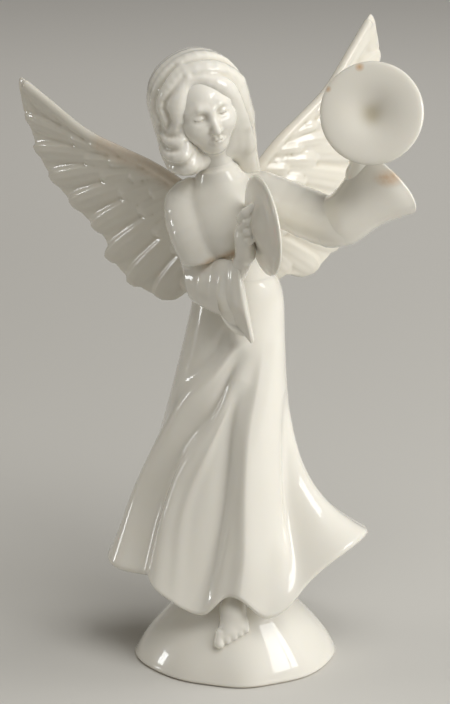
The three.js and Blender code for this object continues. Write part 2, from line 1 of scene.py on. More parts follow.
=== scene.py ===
import bpy
import math
import numpy as np
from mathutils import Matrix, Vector


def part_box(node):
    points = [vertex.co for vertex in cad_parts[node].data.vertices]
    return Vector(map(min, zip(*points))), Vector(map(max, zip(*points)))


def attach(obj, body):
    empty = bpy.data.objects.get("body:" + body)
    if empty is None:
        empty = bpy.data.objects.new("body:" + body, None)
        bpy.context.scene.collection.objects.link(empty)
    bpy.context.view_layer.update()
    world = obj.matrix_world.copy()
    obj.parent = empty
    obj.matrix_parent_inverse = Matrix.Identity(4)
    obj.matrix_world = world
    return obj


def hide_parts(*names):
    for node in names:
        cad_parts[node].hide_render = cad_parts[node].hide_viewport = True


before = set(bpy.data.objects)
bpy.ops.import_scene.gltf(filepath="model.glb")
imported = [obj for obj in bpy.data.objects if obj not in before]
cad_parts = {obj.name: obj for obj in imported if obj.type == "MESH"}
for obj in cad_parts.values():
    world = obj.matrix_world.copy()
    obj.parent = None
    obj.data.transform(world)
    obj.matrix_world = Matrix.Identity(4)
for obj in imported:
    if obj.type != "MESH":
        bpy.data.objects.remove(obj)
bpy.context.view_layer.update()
scene = bpy.context.scene
scene.view_settings.view_transform = "Standard"
print("frame loaded, castings:", len(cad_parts))

# All shapes are worked out in millimetres and written as metres


def unit(v):
    v = np.array(v, float)
    return v / np.linalg.norm(v)


def ease(x, low, high):
    s = np.clip((x - low) / (high - low), 0, 1)
    return s * s * (3 - 2 * s)


def mixed(a, b, share):
    return a + (b - a) * share


def turned(axis, degrees):
    c, s = math.cos(math.radians(degrees)), math.sin(math.radians(degrees))
    i, j = [(1, 2), (2, 0), (0, 1)]["xyz".index(axis)]
    m = np.eye(3)
    m[i, i] = m[j, j] = c
    m[i, j], m[j, i] = -s, s
    return m


def through(points, count):  # a smooth line through the points, evenly stepped between them
    p = np.array(points, float)
    p = np.vstack([2 * p[0] - p[1], p, 2 * p[-1] - p[-2]])
    at = np.linspace(0, len(p) - 3, count)
    i = np.minimum(at.astype(int), len(p) - 4)
    u = (at - i)[:, None]
    a, b, c, d = p[i], p[i + 1], p[i + 2], p[i + 3]
    return 0.5 * (2 * b + (c - a) * u + (2 * a - 5 * b + 4 * c - d) * u**2 + (3 * b - a - 3 * c + d) * u**3)


def throughValues(values, count):
    return through(np.array(values, float)[:, None], count)[:, 0]


def placed(points, place):
    return points @ place[0].T + place[1]


def unplaced(points, place):
    return (np.array(points, float) - place[1]) @ place[0]


waistHeight = 116
stance = {
    "torsoLean": -10,  # degrees, to the figure's right
    "head": (-1.7, -1.6, 50),  # in the torso's frame
    "headTurn": (("z", 18), ("y", -6), ("x", 9)),
}
ground = (np.eye(3), np.zeros(3))
torsoPlace = (turned("y", stance["torsoLean"]), np.array([0, 0, waistHeight], float))
headTurn = np.linalg.multi_dot([turned(axis, degrees) for axis, degrees in stance["headTurn"]])
headPlace = (torsoPlace[0] @ headTurn, placed(np.array(stance["head"]), torsoPlace))


# Soft clay forms: each gives the distance from its surface, less than 0 inside

def ball(p, middle, radius):
    return np.linalg.norm(p - np.array(middle), axis=1) - radius


def oval(p, middle, radii):
    q = (p - np.array(middle)) / np.array(radii)
    far = np.linalg.norm(q, axis=1)
    return far * (far - 1) / np.maximum(np.linalg.norm(q / np.array(radii), axis=1), 1e-6)


def rod(p, a, b, ra, rb):
    a, b = np.array(a, float), np.array(b, float)
    h = np.clip((p - a) @ (b - a) / max((b - a) @ (b - a), 1e-9), 0, 1)
    return np.linalg.norm(p - a - h[:, None] * (b - a), axis=1) - (ra + (rb - ra) * h)


def press(a, b, soft):  # joins two forms with a fillet
    h = np.maximum(soft - np.abs(a - b), 0) / soft
    return np.minimum(a, b) - h * h * soft / 4


def carve(a, b, soft):
    return -press(-a, b, soft)


def roll(p, path, radii, soft=0.4):  # a rolled coil of clay along a path
    out = None
    for i in range(len(path) - 1):
        one = rod(p, path[i], path[i + 1], radii[i], radii[i + 1])
        out = one if out is None else press(out, one, soft)
    return out


def valuesOf(field, points, chunk=120000):
    return np.concatenate([field(points[i : i + chunk]) for i in range(0, len(points), chunk)])


def slopeOf(field, points, step):
    return np.stack([(field(points + d) - field(points - d)) / (2 * step) for d in np.eye(3) * step], 1)


mesher = {
    "quickCoarser": 1.7,
    "block": 4,  # cells along a block of the first, rough look
    "band": 0.4,  # looked at closely beyond the nearest blocks
    "settles": 2,
    "longestMove": 0.6,  # in cells
}


def skin(field, low, high, cell):  # the surface of a form, as quads
    cell = cell * 1
    n = mesher["block"]
    low = np.array(low, float)
    blocks = np.ceil((np.array(high) - low) / (n * cell)).astype(int)
    count = blocks * n + 1
    grid = np.indices(blocks).reshape(3, -1).T
    middle = valuesOf(field, low + (grid * n + n // 2) * cell)
    rough = np.where(middle < 0, -9.0, 9.0).reshape(blocks)  # well inside or well outside
    for axis in range(3):
        rough = np.repeat(rough, n, axis)
    values = np.pad(rough, [(0, 1)] * 3, mode="edge")
    near = grid[np.abs(middle) < 1.5 * n * cell + mesher["band"]] * n
    wanted = np.zeros(count, bool)
    for i, j, k in np.indices((n + 1,) * 3).reshape(3, -1).T:
        wanted[near[:, 0] + i, near[:, 1] + j, near[:, 2] + k] = True
    spots = np.argwhere(wanted)
    values[tuple(spots.T)] = valuesOf(field, low + spots * cell)
    inside = values < 0
    cells, crossings, flips = [], [], []
    step = np.eye(3, dtype=int)
    for axis in range(3):
        b, c = (axis + 1) % 3, (axis + 2) % 3
        ends = [slice(None)] * 3
        starts = [slice(None)] * 3
        ends[axis], starts[axis] = slice(1, None), slice(None, -1)
        at = np.argwhere(inside[tuple(starts)] != inside[tuple(ends)])
        va = values[tuple(at.T)]
        vb = values[tuple((at + step[axis]).T)]
        hit = at + step[axis] * (va / (va - vb))[:, None]
        cells.append(np.stack([at, at - step[b], at - step[b] - step[c], at - step[c]], 1))
        crossings.append(hit)
        flips.append(va > 0)
    cells, crossings, flips = np.concatenate(cells), np.concatenate(crossings), np.concatenate(flips)
    keys = (cells[..., 0] * count[1] + cells[..., 1]) * count[2] + cells[..., 2]
    index = np.unique(keys, return_inverse=True)[1].reshape(-1, 4)
    shared = np.bincount(index.ravel())
    points = np.stack(
        [np.bincount(index.ravel(), np.repeat(crossings[:, a], 4)) / shared for a in range(3)], 1
    )
    points = low + points * cell
    index[flips] = index[flips][:, ::-1]
    for _ in range(mesher["settles"]):  # settle the points on the surface
        value = valuesOf(field, points)
        slope = slopeOf(lambda p: valuesOf(field, p), points, 0.25 * cell)
        move = slope * (value / np.maximum((slope**2).sum(1), 0.2))[:, None]
        size = np.linalg.norm(move, axis=1, keepdims=True)
        points = points - move * np.minimum(1, mesher["longestMove"] * cell / np.maximum(size, 1e-9))
    return points, index


def tube(rings):  # rings of points, closed with a fan at each end
    rows, columns = rings.shape[:2]
    points = np.vstack([rings.reshape(-1, 3), rings[0].mean(0), rings[-1].mean(0)])
    r, c = np.indices((rows - 1, columns)) * np.array([columns, 1])[:, None, None]
    nextC = (c + 1) % columns
    quads = np.stack([r + c, r + nextC, r + columns + nextC, r + columns + c], -1)
    faces = quads.reshape(-1, 4).tolist()
    last = (rows - 1) * columns
    for i in range(columns):
        j = (i + 1) % columns
        faces.append([rows * columns, j, i])
        faces.append([rows * columns + 1, last + i, last + j])
    return points, faces


def outward(points, faces):  # turns the faces out if the shell is inside out
    tris = np.array([[f[0], f[i], f[i + 1]] for f in faces for i in range(1, len(f) - 1)])
    a, b, c = points[tris[:, 0]], points[tris[:, 1]], points[tris[:, 2]]
    volume = (a * np.cross(b, c)).sum()
    return faces if volume > 0 else [f[::-1] for f in faces]


def edgesOf(faces):
    pairs = set()
    for f in faces:
        for a, b in zip(f, f[1:] + f[:1]):
            pairs.add((a, b) if a < b else (b, a))
    return np.array(list(pairs))


pooling = {
    "starts": 0.05,  # bend at which thick glaze and painted shade begin to gather
    "full": 0.6,
    "rounds": 4,  # of spreading along the mesh
    "keep": 0.4,  # share of its own value that a point keeps in each round
}


def spreadOver(value, edges, rounds):  # evens a value out along the mesh
    links = np.bincount(edges.ravel(), minlength=len(value))
    for _ in range(rounds):
        total = np.bincount(edges[:, 0], value[edges[:, 1]], len(value))
        total += np.bincount(edges[:, 1], value[edges[:, 0]], len(value))
        around = total / np.maximum(links, 1)
        value = mixed(around, value, pooling["keep"])
    return value


def hollows(points, faces, normals):  # 1 in the creases, where glaze pools and shade is painted in, 0 on open surface
    edges = edgesOf(faces)
    a, b = edges.T
    count = len(points)
    links = np.maximum(np.bincount(edges.ravel(), minlength=count), 1)
    total = [np.bincount(a, points[b, k], count) + np.bincount(b, points[a, k], count) for k in range(3)]
    centre = np.stack(total, 1) / links[:, None]
    length = np.linalg.norm(points[a] - points[b], axis=1)
    spacing = np.bincount(edges.ravel(), np.repeat(length, 2), count) / links
    bend = 2 * ((centre - points) * normals).sum(1) / np.maximum(spacing, 1e-3) ** 2
    gathered = ease(spreadOver(bend, edges, pooling["rounds"]), pooling["starts"], pooling["full"])
    return spreadOver(gathered, edges, pooling["rounds"])


def addPiece(name, points, faces, material, stain=None, pooled=0.0):
    faces = faces if isinstance(faces, list) else faces.tolist()
    mesh = bpy.data.meshes.new(name)
    mesh.from_pydata((points / 1000).tolist(), [], faces)
    mesh.shade_smooth()
    normals = np.zeros(len(points) * 3, np.float32)
    mesh.vertices.foreach_get("normal", normals)
    # pool mask: thicker, warmer glaze in creases, and painted shade there
    poolAndShade = np.clip(hollows(points, faces, normals.reshape(-1, 3)) + pooled, 0, 1)
    amber = np.zeros(len(points)) if stain is None else stain
    for label, values in (("poolAndShade", poolAndShade), ("stain", amber)):
        mesh.attributes.new(label, "FLOAT", "POINT").data.foreach_set("value", values.astype(np.float32))
    mesh.materials.append(material)
    piece = bpy.data.objects.new(name, mesh)
    scene.collection.objects.link(piece)
    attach(piece, "root")
    node = name.replace("_porcelain", "")
    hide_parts(node)
    cad = [np.array(v) * 1000 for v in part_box(node)]
    over = np.concatenate([cad[0] - points.min(0), points.max(0) - cad[1]])
    print(f"{name}: {len(faces)} faces, beyond its casting by", np.round(over, 1).tolist())


def addForm(name, form, low, high, cell, place, stainOf=None):  # skins a form and adds it as a piece
    points, faces = skin(form, low, high, cell)
    stain = None if stainOf is None else stainOf(points)
    addPiece(name, placed(points, place), faces, ivoryGlaze, stain)


# Nodes, for glazes and for shapes that follow a rule

def newTree(name, kind, inputs, outputs):
    tree = bpy.data.node_groups.new(name, kind)
    for label, socketKind, value in inputs:
        socket = tree.interface.new_socket(label, in_out="INPUT", socket_type="NodeSocket" + socketKind)
        if value is not None:
            socket.default_value = value
    for label, socketKind in outputs:
        tree.interface.new_socket(label, in_out="OUTPUT", socket_type="NodeSocket" + socketKind)
    return tree, tree.nodes.new("NodeGroupInput").outputs, tree.nodes.new("NodeGroupOutput").inputs


def toolsFor(tree):  # one tree's own ways to add a node, do a sum and mix two colours
    def add(kind, links=None, **settings):
        node = tree.nodes.new(kind)
        for key, value in settings.items():
            setattr(node, key, value)
        for slot, value in (links or {}).items():
            if isinstance(value, bpy.types.NodeSocket):
                tree.links.new(value, node.inputs[slot])
            else:
                node.inputs[slot].default_value = value
        return node

    def calc(operation, a, b=0.0, c=0.0, **settings):
        return add("ShaderNodeMath", {0: a, 1: b, 2: c}, operation=operation, **settings).outputs[0]

    def blend(share, a, b):
        return add("ShaderNodeMix", {0: share, 6: a, 7: b}, data_type="RGBA").outputs[2]

    return add, calc, blend


# Materials

glaze = {
    "clear": (0.83, 0.80, 0.725, 1),
    # the crease colour: thick warm glaze, dark enough to be painted shade as well
    "pooled": (0.52, 0.465, 0.345, 1),
    "amber": (0.58, 0.30, 0.08, 1),
    "bisque": (0.72, 0.66, 0.56, 1),
    "iron": (0.20, 0.08, 0.03, 1),
    "cloud": (60, 3, 0.28),  # scale, detail and strength of its uneven thickness
    "patch": (900, 2),  # scale and detail of the stains' broken edges
    "speckTint": 0.45,
    "roughness": (0.26, -0.08),  # on open surface, and how it changes in pools
    "bareRoughness": 0.8,
    "waver": (0.12, 0.0006),  # strength and height of the bump
    "shader": {
        "Coat Weight": 1.0,
        "Coat Roughness": 0.035,
        "Coat IOR": 1.55,
        "IOR": 1.5,
        "Specular IOR Level": 0.35,
        "Subsurface Weight": 0.12,
        "Subsurface Radius": (1.0, 0.8, 0.5),
        "Subsurface Scale": 0.0015,
    },
}


def makePoolAndShadeGroup():  # glaze lies thicker and warmer in creases, painted darker there as shade too, and stains there
    inputs = [(label, "Color", glaze[label.lower()]) for label in ("Clear", "Pooled", "Amber")]
    inputs.append(("Depth", "Float", 0.5))
    outputs = [("Color", "Color"), ("Pool", "Float")]
    tree, given, out = newTree("glazePoolAndShade", "ShaderNodeTree", inputs, outputs)
    add, calc, blend = toolsFor(tree)
    poolAndShade = add("ShaderNodeAttribute", attribute_name="poolAndShade").outputs["Fac"]
    stain = add("ShaderNodeAttribute", attribute_name="stain").outputs["Fac"]
    where = add("ShaderNodeTexCoord").outputs["Object"]
    scale, detail, strength = glaze["cloud"]
    cloud = add("ShaderNodeTexNoise", {"Vector": where, "Scale": scale, "Detail": detail}).outputs["Fac"]
    uneven = calc("MULTIPLY_ADD", cloud, 0.5, -0.15)
    # creases take the darker pooled colour, partly thick glaze and partly painted shade
    depth = calc("MULTIPLY", poolAndShade, given["Depth"])
    share = calc("MULTIPLY_ADD", uneven, strength, depth, use_clamp=True)
    thick = blend(share, given["Clear"], given["Pooled"])
    scale, detail = glaze["patch"]
    patch = add("ShaderNodeTexNoise", {"Vector": where, "Scale": scale, "Detail": detail}).outputs["Fac"]
    broken = calc("MULTIPLY", stain, calc("ADD", patch, 0.35))
    tree.links.new(blend(broken, thick, given["Amber"]), out["Color"])
    tree.links.new(poolAndShade, out["Pool"])
    return tree


def makeSpeckGroup():  # rare pin-point iron specks under the glaze
    inputs = [("Scale", "Float", 120.0), ("Size", "Float", 0.035), ("Share", "Float", 0.06)]
    tree, given, out = newTree("ironSpecks", "ShaderNodeTree", inputs, [("Mask", "Float")])
    add, calc, _ = toolsFor(tree)
    where = add("ShaderNodeTexCoord").outputs["Object"]
    cells = add("ShaderNodeTexVoronoi", {"Vector": where, "Scale": given["Scale"]})
    split = add("ShaderNodeSeparateColor", {"Color": cells.outputs["Color"]})
    chosen = calc("LESS_THAN", split.outputs[0], given["Share"])
    dot = calc("LESS_THAN", cells.outputs["Distance"], given["Size"])
    tree.links.new(calc("MULTIPLY", chosen, dot), out["Mask"])
    return tree


def makeWaverGroup():  # the slight unevenness of a dipped and fired glaze
    inputs = [("Broad", "Float", 90.0), ("Fine", "Float", 420.0), ("Fine Share", "Float", 0.15)]
    tree, given, out = newTree("glazeWaver", "ShaderNodeTree", inputs, [("Height", "Float")])
    add, calc, _ = toolsFor(tree)
    where = add("ShaderNodeTexCoord").outputs["Object"]
    broad, fine = [
        add("ShaderNodeTexNoise", {"Vector": where, "Scale": given[label], "Detail": 1}).outputs["Fac"]
        for label in ("Broad", "Fine")
    ]
    tree.links.new(calc("MULTIPLY_ADD", fine, given["Fine Share"], broad), out["Height"])
    return tree


poolAndShadeGroup, speckGroup, waverGroup = makePoolAndShadeGroup(), makeSpeckGroup(), makeWaverGroup()


def newMaterial(name):
    material = bpy.data.materials.new(name)
    material.use_nodes = True
    return material, material.node_tree, material.node_tree.nodes["Principled BSDF"].inputs


def makeGlaze(name, depth=0.6, specks=0.006, spots=(), bareBelow=None):
    material, tree, shader = newMaterial(name)
    add, calc, blend = toolsFor(tree)
    for label, value in glaze["shader"].items():
        shader[label].default_value = value
    poolAndShade = add("ShaderNodeGroup", {"Depth": depth}, node_tree=poolAndShadeGroup)
    speck = add("ShaderNodeGroup", {"Share": specks}, node_tree=speckGroup)
    waver = add("ShaderNodeGroup", node_tree=waverGroup)
    where = add("ShaderNodeTexCoord").outputs["Object"]
    speckShare = calc("MULTIPLY", speck.outputs["Mask"], glaze["speckTint"])
    color = blend(speckShare, poolAndShade.outputs["Color"], glaze["iron"])
    for middle, size, strength in spots:  # single stains at known places, in millimetres
        spot = [v / 1000 for v in middle]
        away = add("ShaderNodeVectorMath", {0: where, 1: spot}, operation="DISTANCE").outputs["Value"]
        for tint, reach in (("amber", size / 1000), ("iron", size / 3500)):  # a halo, then its dark core
            near = calc("SUBTRACT", 1.0, calc("DIVIDE", away, reach), use_clamp=True)
            color = blend(calc("MULTIPLY", near, strength), color, glaze[tint])
    openGloss, poolGloss = glaze["roughness"]
    gloss = calc("MULTIPLY_ADD", poolAndShade.outputs["Pool"], poolGloss, openGloss)
    if bareBelow is not None:  # the foot ring and underside are wiped bare of glaze
        height = add("ShaderNodeSeparateXYZ", {0: where}).outputs["Z"]
        bare = calc("LESS_THAN", height, bareBelow / 1000)
        color = blend(bare, color, glaze["bisque"])
        gloss = calc("MAXIMUM", gloss, calc("MULTIPLY", bare, glaze["bareRoughness"]))
        tree.links.new(calc("SUBTRACT", 1.0, bare), shader["Coat Weight"])
    strength, distance = glaze["waver"]
    height = waver.outputs["Height"]
    bump = add("ShaderNodeBump", {"Strength": strength, "Distance": distance, "Height": height})
    tree.links.new(color, shader["Base Color"])
    tree.links.new(gloss, shader["Roughness"])
    tree.links.new(bump.outputs["Normal"], shader["Normal"])
    return material


ivoryGlaze = makeGlaze("ivoryGlaze")
print("glazes mixed")


# Base mound

base = {
    "halfWidth": 29.6,
    "forward": 3.5,
    "frontReach": 22.8,
    "backReach": 24,
    "height": 25,
    "topRadius": 9.5,
    "dome": 1.385,
    "edge": 1.3,
    "lobes": (0.025, 3, 280),  # share, number and direction of the foot's slight lobes
    "lumps": 0.28,
    "lumpsFrom": 6,  # the hand-smoothed lumps fade out from here up
    "spigot": (26, 28, 32, 37),  # heights, inside the skirt
}


def moundRadius(angle, height):
    reach = np.where(np.sin(angle) < 0, base["frontReach"], base["backReach"])
    foot = 1 / np.hypot(np.cos(angle) / base["halfWidth"], np.sin(angle) / reach)
    lobe, number, towards = base["lobes"]
    foot = foot * (1 + lobe * np.cos(number * (angle - math.radians(towards))))
    share = (np.clip(height, 0, base["height"]) / base["height"]) ** base["dome"]
    lump = np.sin(5 * angle + 0.11 * height) * np.sin(2 * angle + 1.3) + 0.6 * np.sin(8 * angle + 0.6)
    fade = ease(height, base["height"], base["lumpsFrom"])
    return mixed(foot, base["topRadius"], share) + base["lumps"] * lump * fade


def makeBase():
    angles = np.linspace(0, 2 * np.pi, 160, endpoint=False)
    foot, edge = moundRadius(angles, 0), base["edge"]
    rows = [(0.0, share * (foot - edge)) for share in (0.15, 0.5, 0.8, 0.93)]
    for a in np.radians(np.linspace(0, 75, 7)):  # rounded edge above the table
        rows.append((edge * (1 - math.cos(a)), foot - edge * (1 - math.sin(a))))
    rows += [(z, moundRadius(angles, z)) for z in np.linspace(edge * 1.2, base["height"], 46)]
    rows += [(z, base["topRadius"] + 0 * angles) for z in base["spigot"]]
    flat = np.stack([np.cos(angles), np.sin(angles)], 1)
    forward = np.array([0, base["forward"]])
    return tube(np.array([np.column_stack([r[:, None] * flat - forward, z + 0 * angles]) for z, r in rows]))


baseGlaze = makeGlaze("baseGlaze", bareBelow=0.5)
addPiece("base_mound_porcelain", *makeBase(), baseGlaze)


# Skirt

skirt = {
    "length": 90,
    "waist": (11, 9),
    "hipSwell": 1.6,
    "hipAt": 0.1,  # share of the way down
    "hem": (38, 37.5, 23, 27),  # left, right, front and back reach
    "flare": ((0.72, 7.5), (0.3, 4), (0.1, 6), (0.2, 6)),  # share that comes late, and how late
    "foldDepth": 2.8,
    "clearance": 20.2,
    "wall": 3,
    "hemSteps": [(0, 18.4), (45, 6.8), (90, 1.8), (135, 3.8), (180, 10.3), (205, 9.3), (241, 0), (267, 7),
                 (291, 0.2), (351, 19.8), (360, 18.4)],  # angle, and height above the clearance
    # Each fold: width before and after its line, then the line as share of the way down, angle, depth
    "folds": [
        (10, 8, [(0.15, 290, 0), (0.3, 232, 0.45), (0.5, 200, 0.6), (0.75, 185, 1), (1, 191, 0.55)]),
        (9, 9, [(0.2, 282, 0), (0.33, 250, -0.5), (0.5, 217, -0.85), (0.75, 201, -1.2), (1, 204, -1.2)]),
        (9, 7, [(0.42, 245, 0), (0.6, 218, 0.35), (0.8, 214, 0.45), (1, 217, 0.4)]),
        (4, 4, [(0.36, 266, 0), (0.5, 241, 0.25), (0.7, 226, 0.25), (1, 228, 0.1)]),
        (13, 9, [(0.3, 280, 0), (0.45, 262, -0.6), (0.7, 256, -0.85), (0.9, 247, -0.65), (1, 240, -0.45)]),
        (7, 38, [(0.2, 308, 0), (0.4, 286, 0.6), (0.6, 278, 0.8), (0.85, 276, 0.85), (1, 272, 0.7)]),
        (12, 13, [(0.42, 336, 0), (0.68, 328, -0.7), (0.85, 324, -1.3), (1, 320, -0.5)]),
        (14, 20, [(0.5, 352, 0), (0.7, 347, 0.3), (0.85, 346, 0.5), (1, 346, 0.5)]),
        (9, 9, [(0.12, 256, 0), (0.2, 238, -0.2), (0.3, 215, -0.2), (0.45, 200, 0)]),
        (10, 10, [(0.1, 8, 0), (0.5, 16, -0.4), (1, 22, -0.7)]),
        (9, 9, [(0.1, 30, 0), (0.5, 36, 0.45), (1, 40, 0.8)]),
        (10, 10, [(0.08, 54, 0), (0.5, 59, -0.5), (1, 62, -0.9)]),
        (11, 11, [(0.06, 82, 0), (0.5, 84, 0.55), (1, 84, 0.9)]),
        (10, 10, [(0.06, 112, 0), (0.5, 109, -0.5), (1, 108, -0.9)]),
        (10, 10, [(0.08, 138, 0), (0.5, 132, 0.45), (1, 130, 0.8)]),
        (10, 10, [(0.1, 160, 0), (0.5, 154, -0.45), (1, 152, -0.8)]),
        (8, 8, [(0.2, 174, 0), (0.6, 170, 0.25), (1, 170, 0.45)]),
    ],
}
foldLines = [(before, after, through(line, 80)) for before, after, line in skirt["folds"]]


def hemHeight(angle):
    degrees = np.degrees(angle) % 360
    steps = np.array(skirt["hemSteps"])
    i = np.searchsorted(steps[:, 0], degrees, side="right") - 1
    i = np.clip(i, 0, len(steps) - 2)
    share = (degrees - steps[i, 0]) / (steps[i + 1, 0] - steps[i, 0])
    return skirt["clearance"] + mixed(steps[i, 1], steps[i + 1, 1], (1 - np.cos(np.pi * share)) / 2)


def skirtRadius(angle, down):
    def spread(waist, side):
        late, power = skirt["flare"][side]
        return mixed(waist, skirt["hem"][side], (1 - late) * down + late * down**power)

    low = down / skirt["hipAt"]
    hip = skirt["hipSwell"] * low * np.exp(1 - low)
    wide, deep = skirt["waist"]
    halfWidth = np.where(np.cos(angle) > 0, spread(wide, 0) + hip, spread(wide, 1))
    halfDepth = np.where(np.sin(angle) < 0, spread(deep, 2), spread(deep, 3))
    radius = 1 / np.hypot(np.cos(angle) / halfWidth, np.sin(angle) / halfDepth)
    degrees = np.degrees(angle)
    for before, after, line in foldLines:
        middle = np.interp(down, line[:, 0], line[:, 1])
        depth = np.interp(down, line[:, 0], line[:, 2]) * skirt["foldDepth"]
        away = (degrees - middle + 180) % 360 - 180
        radius = radius + depth * np.exp(-((away / np.where(away < 0, before, after)) ** 2))
    return radius


def skirtRing(angles, down, inset=0.0):
    r = skirtRadius(angles, np.full_like(angles, down)) - inset
    z = mixed(waistHeight, hemHeight(angles), down)
    return np.stack([r * np.cos(angles), r * np.sin(angles), z], 1)


def makeSkirt():
    columns, rows = ((330, 150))
    angles = np.linspace(0, 2 * np.pi, columns, endpoint=False)
    half = skirt["wall"] / 2
    out = np.stack([np.cos(angles), np.sin(angles), 0 * angles], 1)
    end = skirtRing(angles, 1)
    along = end - skirtRing(angles, 0.985)
    along /= np.linalg.norm(along, axis=1, keepdims=True)  # down the cloth at the hem
    steep = (along * out).sum(1, keepdims=True)
    inward = out * along[:, 2:] - np.array([0, 0, 1]) * steep
    middle = end - along * half + inward * half
    ceiling = skirtRing(angles, 0.88, 2 * half)
    rings = [mixed(ceiling.mean(0), ceiling, s) for s in (0.05, 0.35, 0.7, 0.95)]
    rings += [mixed(skirtRing(angles, 0.9, 2 * half), middle + inward * half, s) for s in (0, 0.4, 0.75)]
    for a in np.radians(np.linspace(180, 0, 13)):  # rounded hem
        rings.append(middle - inward * half * math.cos(a) + along * half * math.sin(a))
    rings += [skirtRing(angles, d) for d in np.linspace(0.975, 0, rows)]
    for rise, inset in ((0.6, 0.05), (1.2, 0.15), (1.8, 0.3), (2.2, 0.8)):  # runs on under the bodice
        rings.append(skirtRing(angles, 0, inset) + np.array([0, 0, rise]))
    top = rings[-1]
    rings += [mixed(top.mean(0), top, s) for s in (0.8, 0.4)]
    return tube(np.array(rings))


addPiece("skirt_porcelain", *makeSkirt(), ivoryGlaze)


# Torso, arms and neck

torso = {
    # height, half width, front, back
    "rings": [(-8, 11, 9, 9), (0, 10.6, 8.4, 8.2), (6, 11, 9.6, 8), (13.2, 12.1, 11.2, 8.6),
              (19.2, 12.5, 9.8, 8.9), (24, 11.3, 8, 7.8), (28.2, 7.3, 5.9, 6.5), (31, 5.4, 5.2, 5.4)],
    "neck": ((0, 0.6, 25), (-0.4, 0, 42.4), 4.9, 4.5),
    "rightArm": [(-8.6, -0.2, 28), (-11.4, -1.4, 24.6), (-11.7, -3.6, 20), (-10.6, -6.6, 15),
                 (-9.2, -8.2, 11), (-8.8, -8.8, 7)],
    "rightRadii": [2.1, 4.4, 5.0, 5.4, 5.4, 5.2],
    "rightLip": 8.0,  # height at which the cloth of the upper arm hangs over the sleeve
    "rightElbow": ((-11.4, -2.6, 18), (-10.2, -4.6, 4), 4.6, 4.2),
    "leftArm": [(11, 0, 22.5), (19.5, -2.6, 16.8), (28, -6, 12.3), (31, -7, 12.5)],
    "leftRadii": [5.8, 6.8, 6.9, 6.9],
    "chest": [((1.2, -5.8, 15.2), (9.6, 8.6, 7.6)), ((-0.9, -7.4, 12.6), (5.2, 6.2, 5.2))],
    "fillets": {"chest": 3.5, "neck": 3.0, "rightArm": 1.8, "leftArm": 3.0},
    "stain": 0.5,
    "stainLine": [(-9, -12, 8), (-5.4, -13.4, 8.2), (-2, -13.8, 8.8), (1.5, -13.6, 9.8)],
    "stainReach": 2.4,
    "hemLow": -3.5,  # where the bodice's casting ends on the skirt
}
ringLine = through(torso["rings"], 200)
rightArmPath, rightArmRadii = through(torso["rightArm"], 10), throughValues(torso["rightRadii"], 10)
leftArmPath, leftArmRadii = through(torso["leftArm"], 8), throughValues(torso["leftRadii"], 8)
stainLine = through(torso["stainLine"], 24)


def barrel(p):
    h = np.clip(p[:, 2], ringLine[0, 0], ringLine[-1, 0])
    wide, front, back = [np.interp(h, ringLine[:, 0], ringLine[:, i]) for i in (1, 2, 3)]
    deep = np.where(p[:, 1] < 0, front, back)
    flat = (np.hypot(p[:, 0] / wide, p[:, 1] / deep) - 1) * np.minimum(wide, deep)
    past = np.abs(p[:, 2] - h)
    return np.where(past > 0, np.hypot(np.maximum(flat, 0), past), flat)


def waistForm(p):  # runs on from the skirt's top into the torso
    w = placed(p, torsoPlace)
    down = np.clip((waistHeight - w[:, 2]) / skirt["length"], 0, 0.5)
    flat = 0.95 * (np.hypot(w[:, 0], w[:, 1]) - skirtRadius(np.arctan2(w[:, 1], w[:, 0]), down))
    return mixed(flat, barrel(p), ease(w[:, 2], waistHeight - 1, waistHeight + 9))


def bustForm(p):
    out = waistForm(p)
    for middle, radii in torso["chest"]:
        out = press(out, oval(p, middle, radii), torso["fillets"]["chest"])
    height = placed(p, torsoPlace)[:, 2] - waistHeight
    sunk = out + 0.3 * ease(height, 0.8, -1.2)  # runs out under the skirt's surface
    return np.maximum(sunk, torso["hemLow"] - p[:, 2])


def rightArmForm(p):
    upper = carve(roll(p, rightArmPath, rightArmRadii, 0.6), p[:, 2] - torso["rightLip"], 1.6)
    return press(upper, rod(p, *torso["rightElbow"]), 2)


def leftArmForm(p):
    return roll(p, leftArmPath, leftArmRadii, 0.6)


def upperBody(p):
    fillets = torso["fillets"]
    body = press(bustForm(p), rod(p, *torso["neck"]), fillets["neck"])
    body = press(body, rightArmForm(p), fillets["rightArm"])
    return press(body, leftArmForm(p), fillets["leftArm"])


def castingOf(own, margin):  # one casting, with its share of the fillets to its neighbours
    def form(p):
        away = own(p)
        return np.maximum(upperBody(p) - 0.04 + 0.12 * ease(away, 0, margin), away - margin)

    return form


def crossStain(points):  # brown glaze caught where the sleeve meets the arm and chest
    away = np.min(np.linalg.norm(points[:, None] - stainLine[None], axis=2), axis=1)
    return torso["stain"] * ease(away, torso["stainReach"], 0.2 * torso["stainReach"])


bodiceCasting = castingOf(bustForm, 2.0)
rightArmCasting, leftArmCasting = castingOf(rightArmForm, 1.6), castingOf(leftArmForm, 1.6)
addForm("bodice_porcelain", bodiceCasting, (-18, -18, -6), (20, 16, 36), 0.4, torsoPlace, crossStain)
addForm("right_upper_arm_porcelain", rightArmCasting, (-22, -18, -4), (-1, 10, 34), 0.4, torsoPlace,
        crossStain)
addForm("left_upper_arm_porcelain", leftArmCasting, (2, -17, 2), (42, 11, 33), 0.42, torsoPlace)


# Head

face = {
    "skull": ((0, 1.2, 2.2), (9.2, 10.4, 10.4)),
    "jaw": ((0, -1.6, -3.2), (7.5, 8.6, 9.4)),
    "chin": ((0, -6.0, -9.7), (3.2, 3.4, 2.4)),
    "cheek": ((4.0, -6.2, -3.6), 3.1),
    "brow": ([(0.6, -9.5, 1.7), (3.0, -9.1, 2.3), (5.8, -7.2, 1.5)], [0.7, 0.8, 0.6]),
    "eyes": (3.4, 0.1),  # place across and up, on the half line of the head
    "noseTip": (-12.0, -4.3),
    "mouth": -7.4,
}


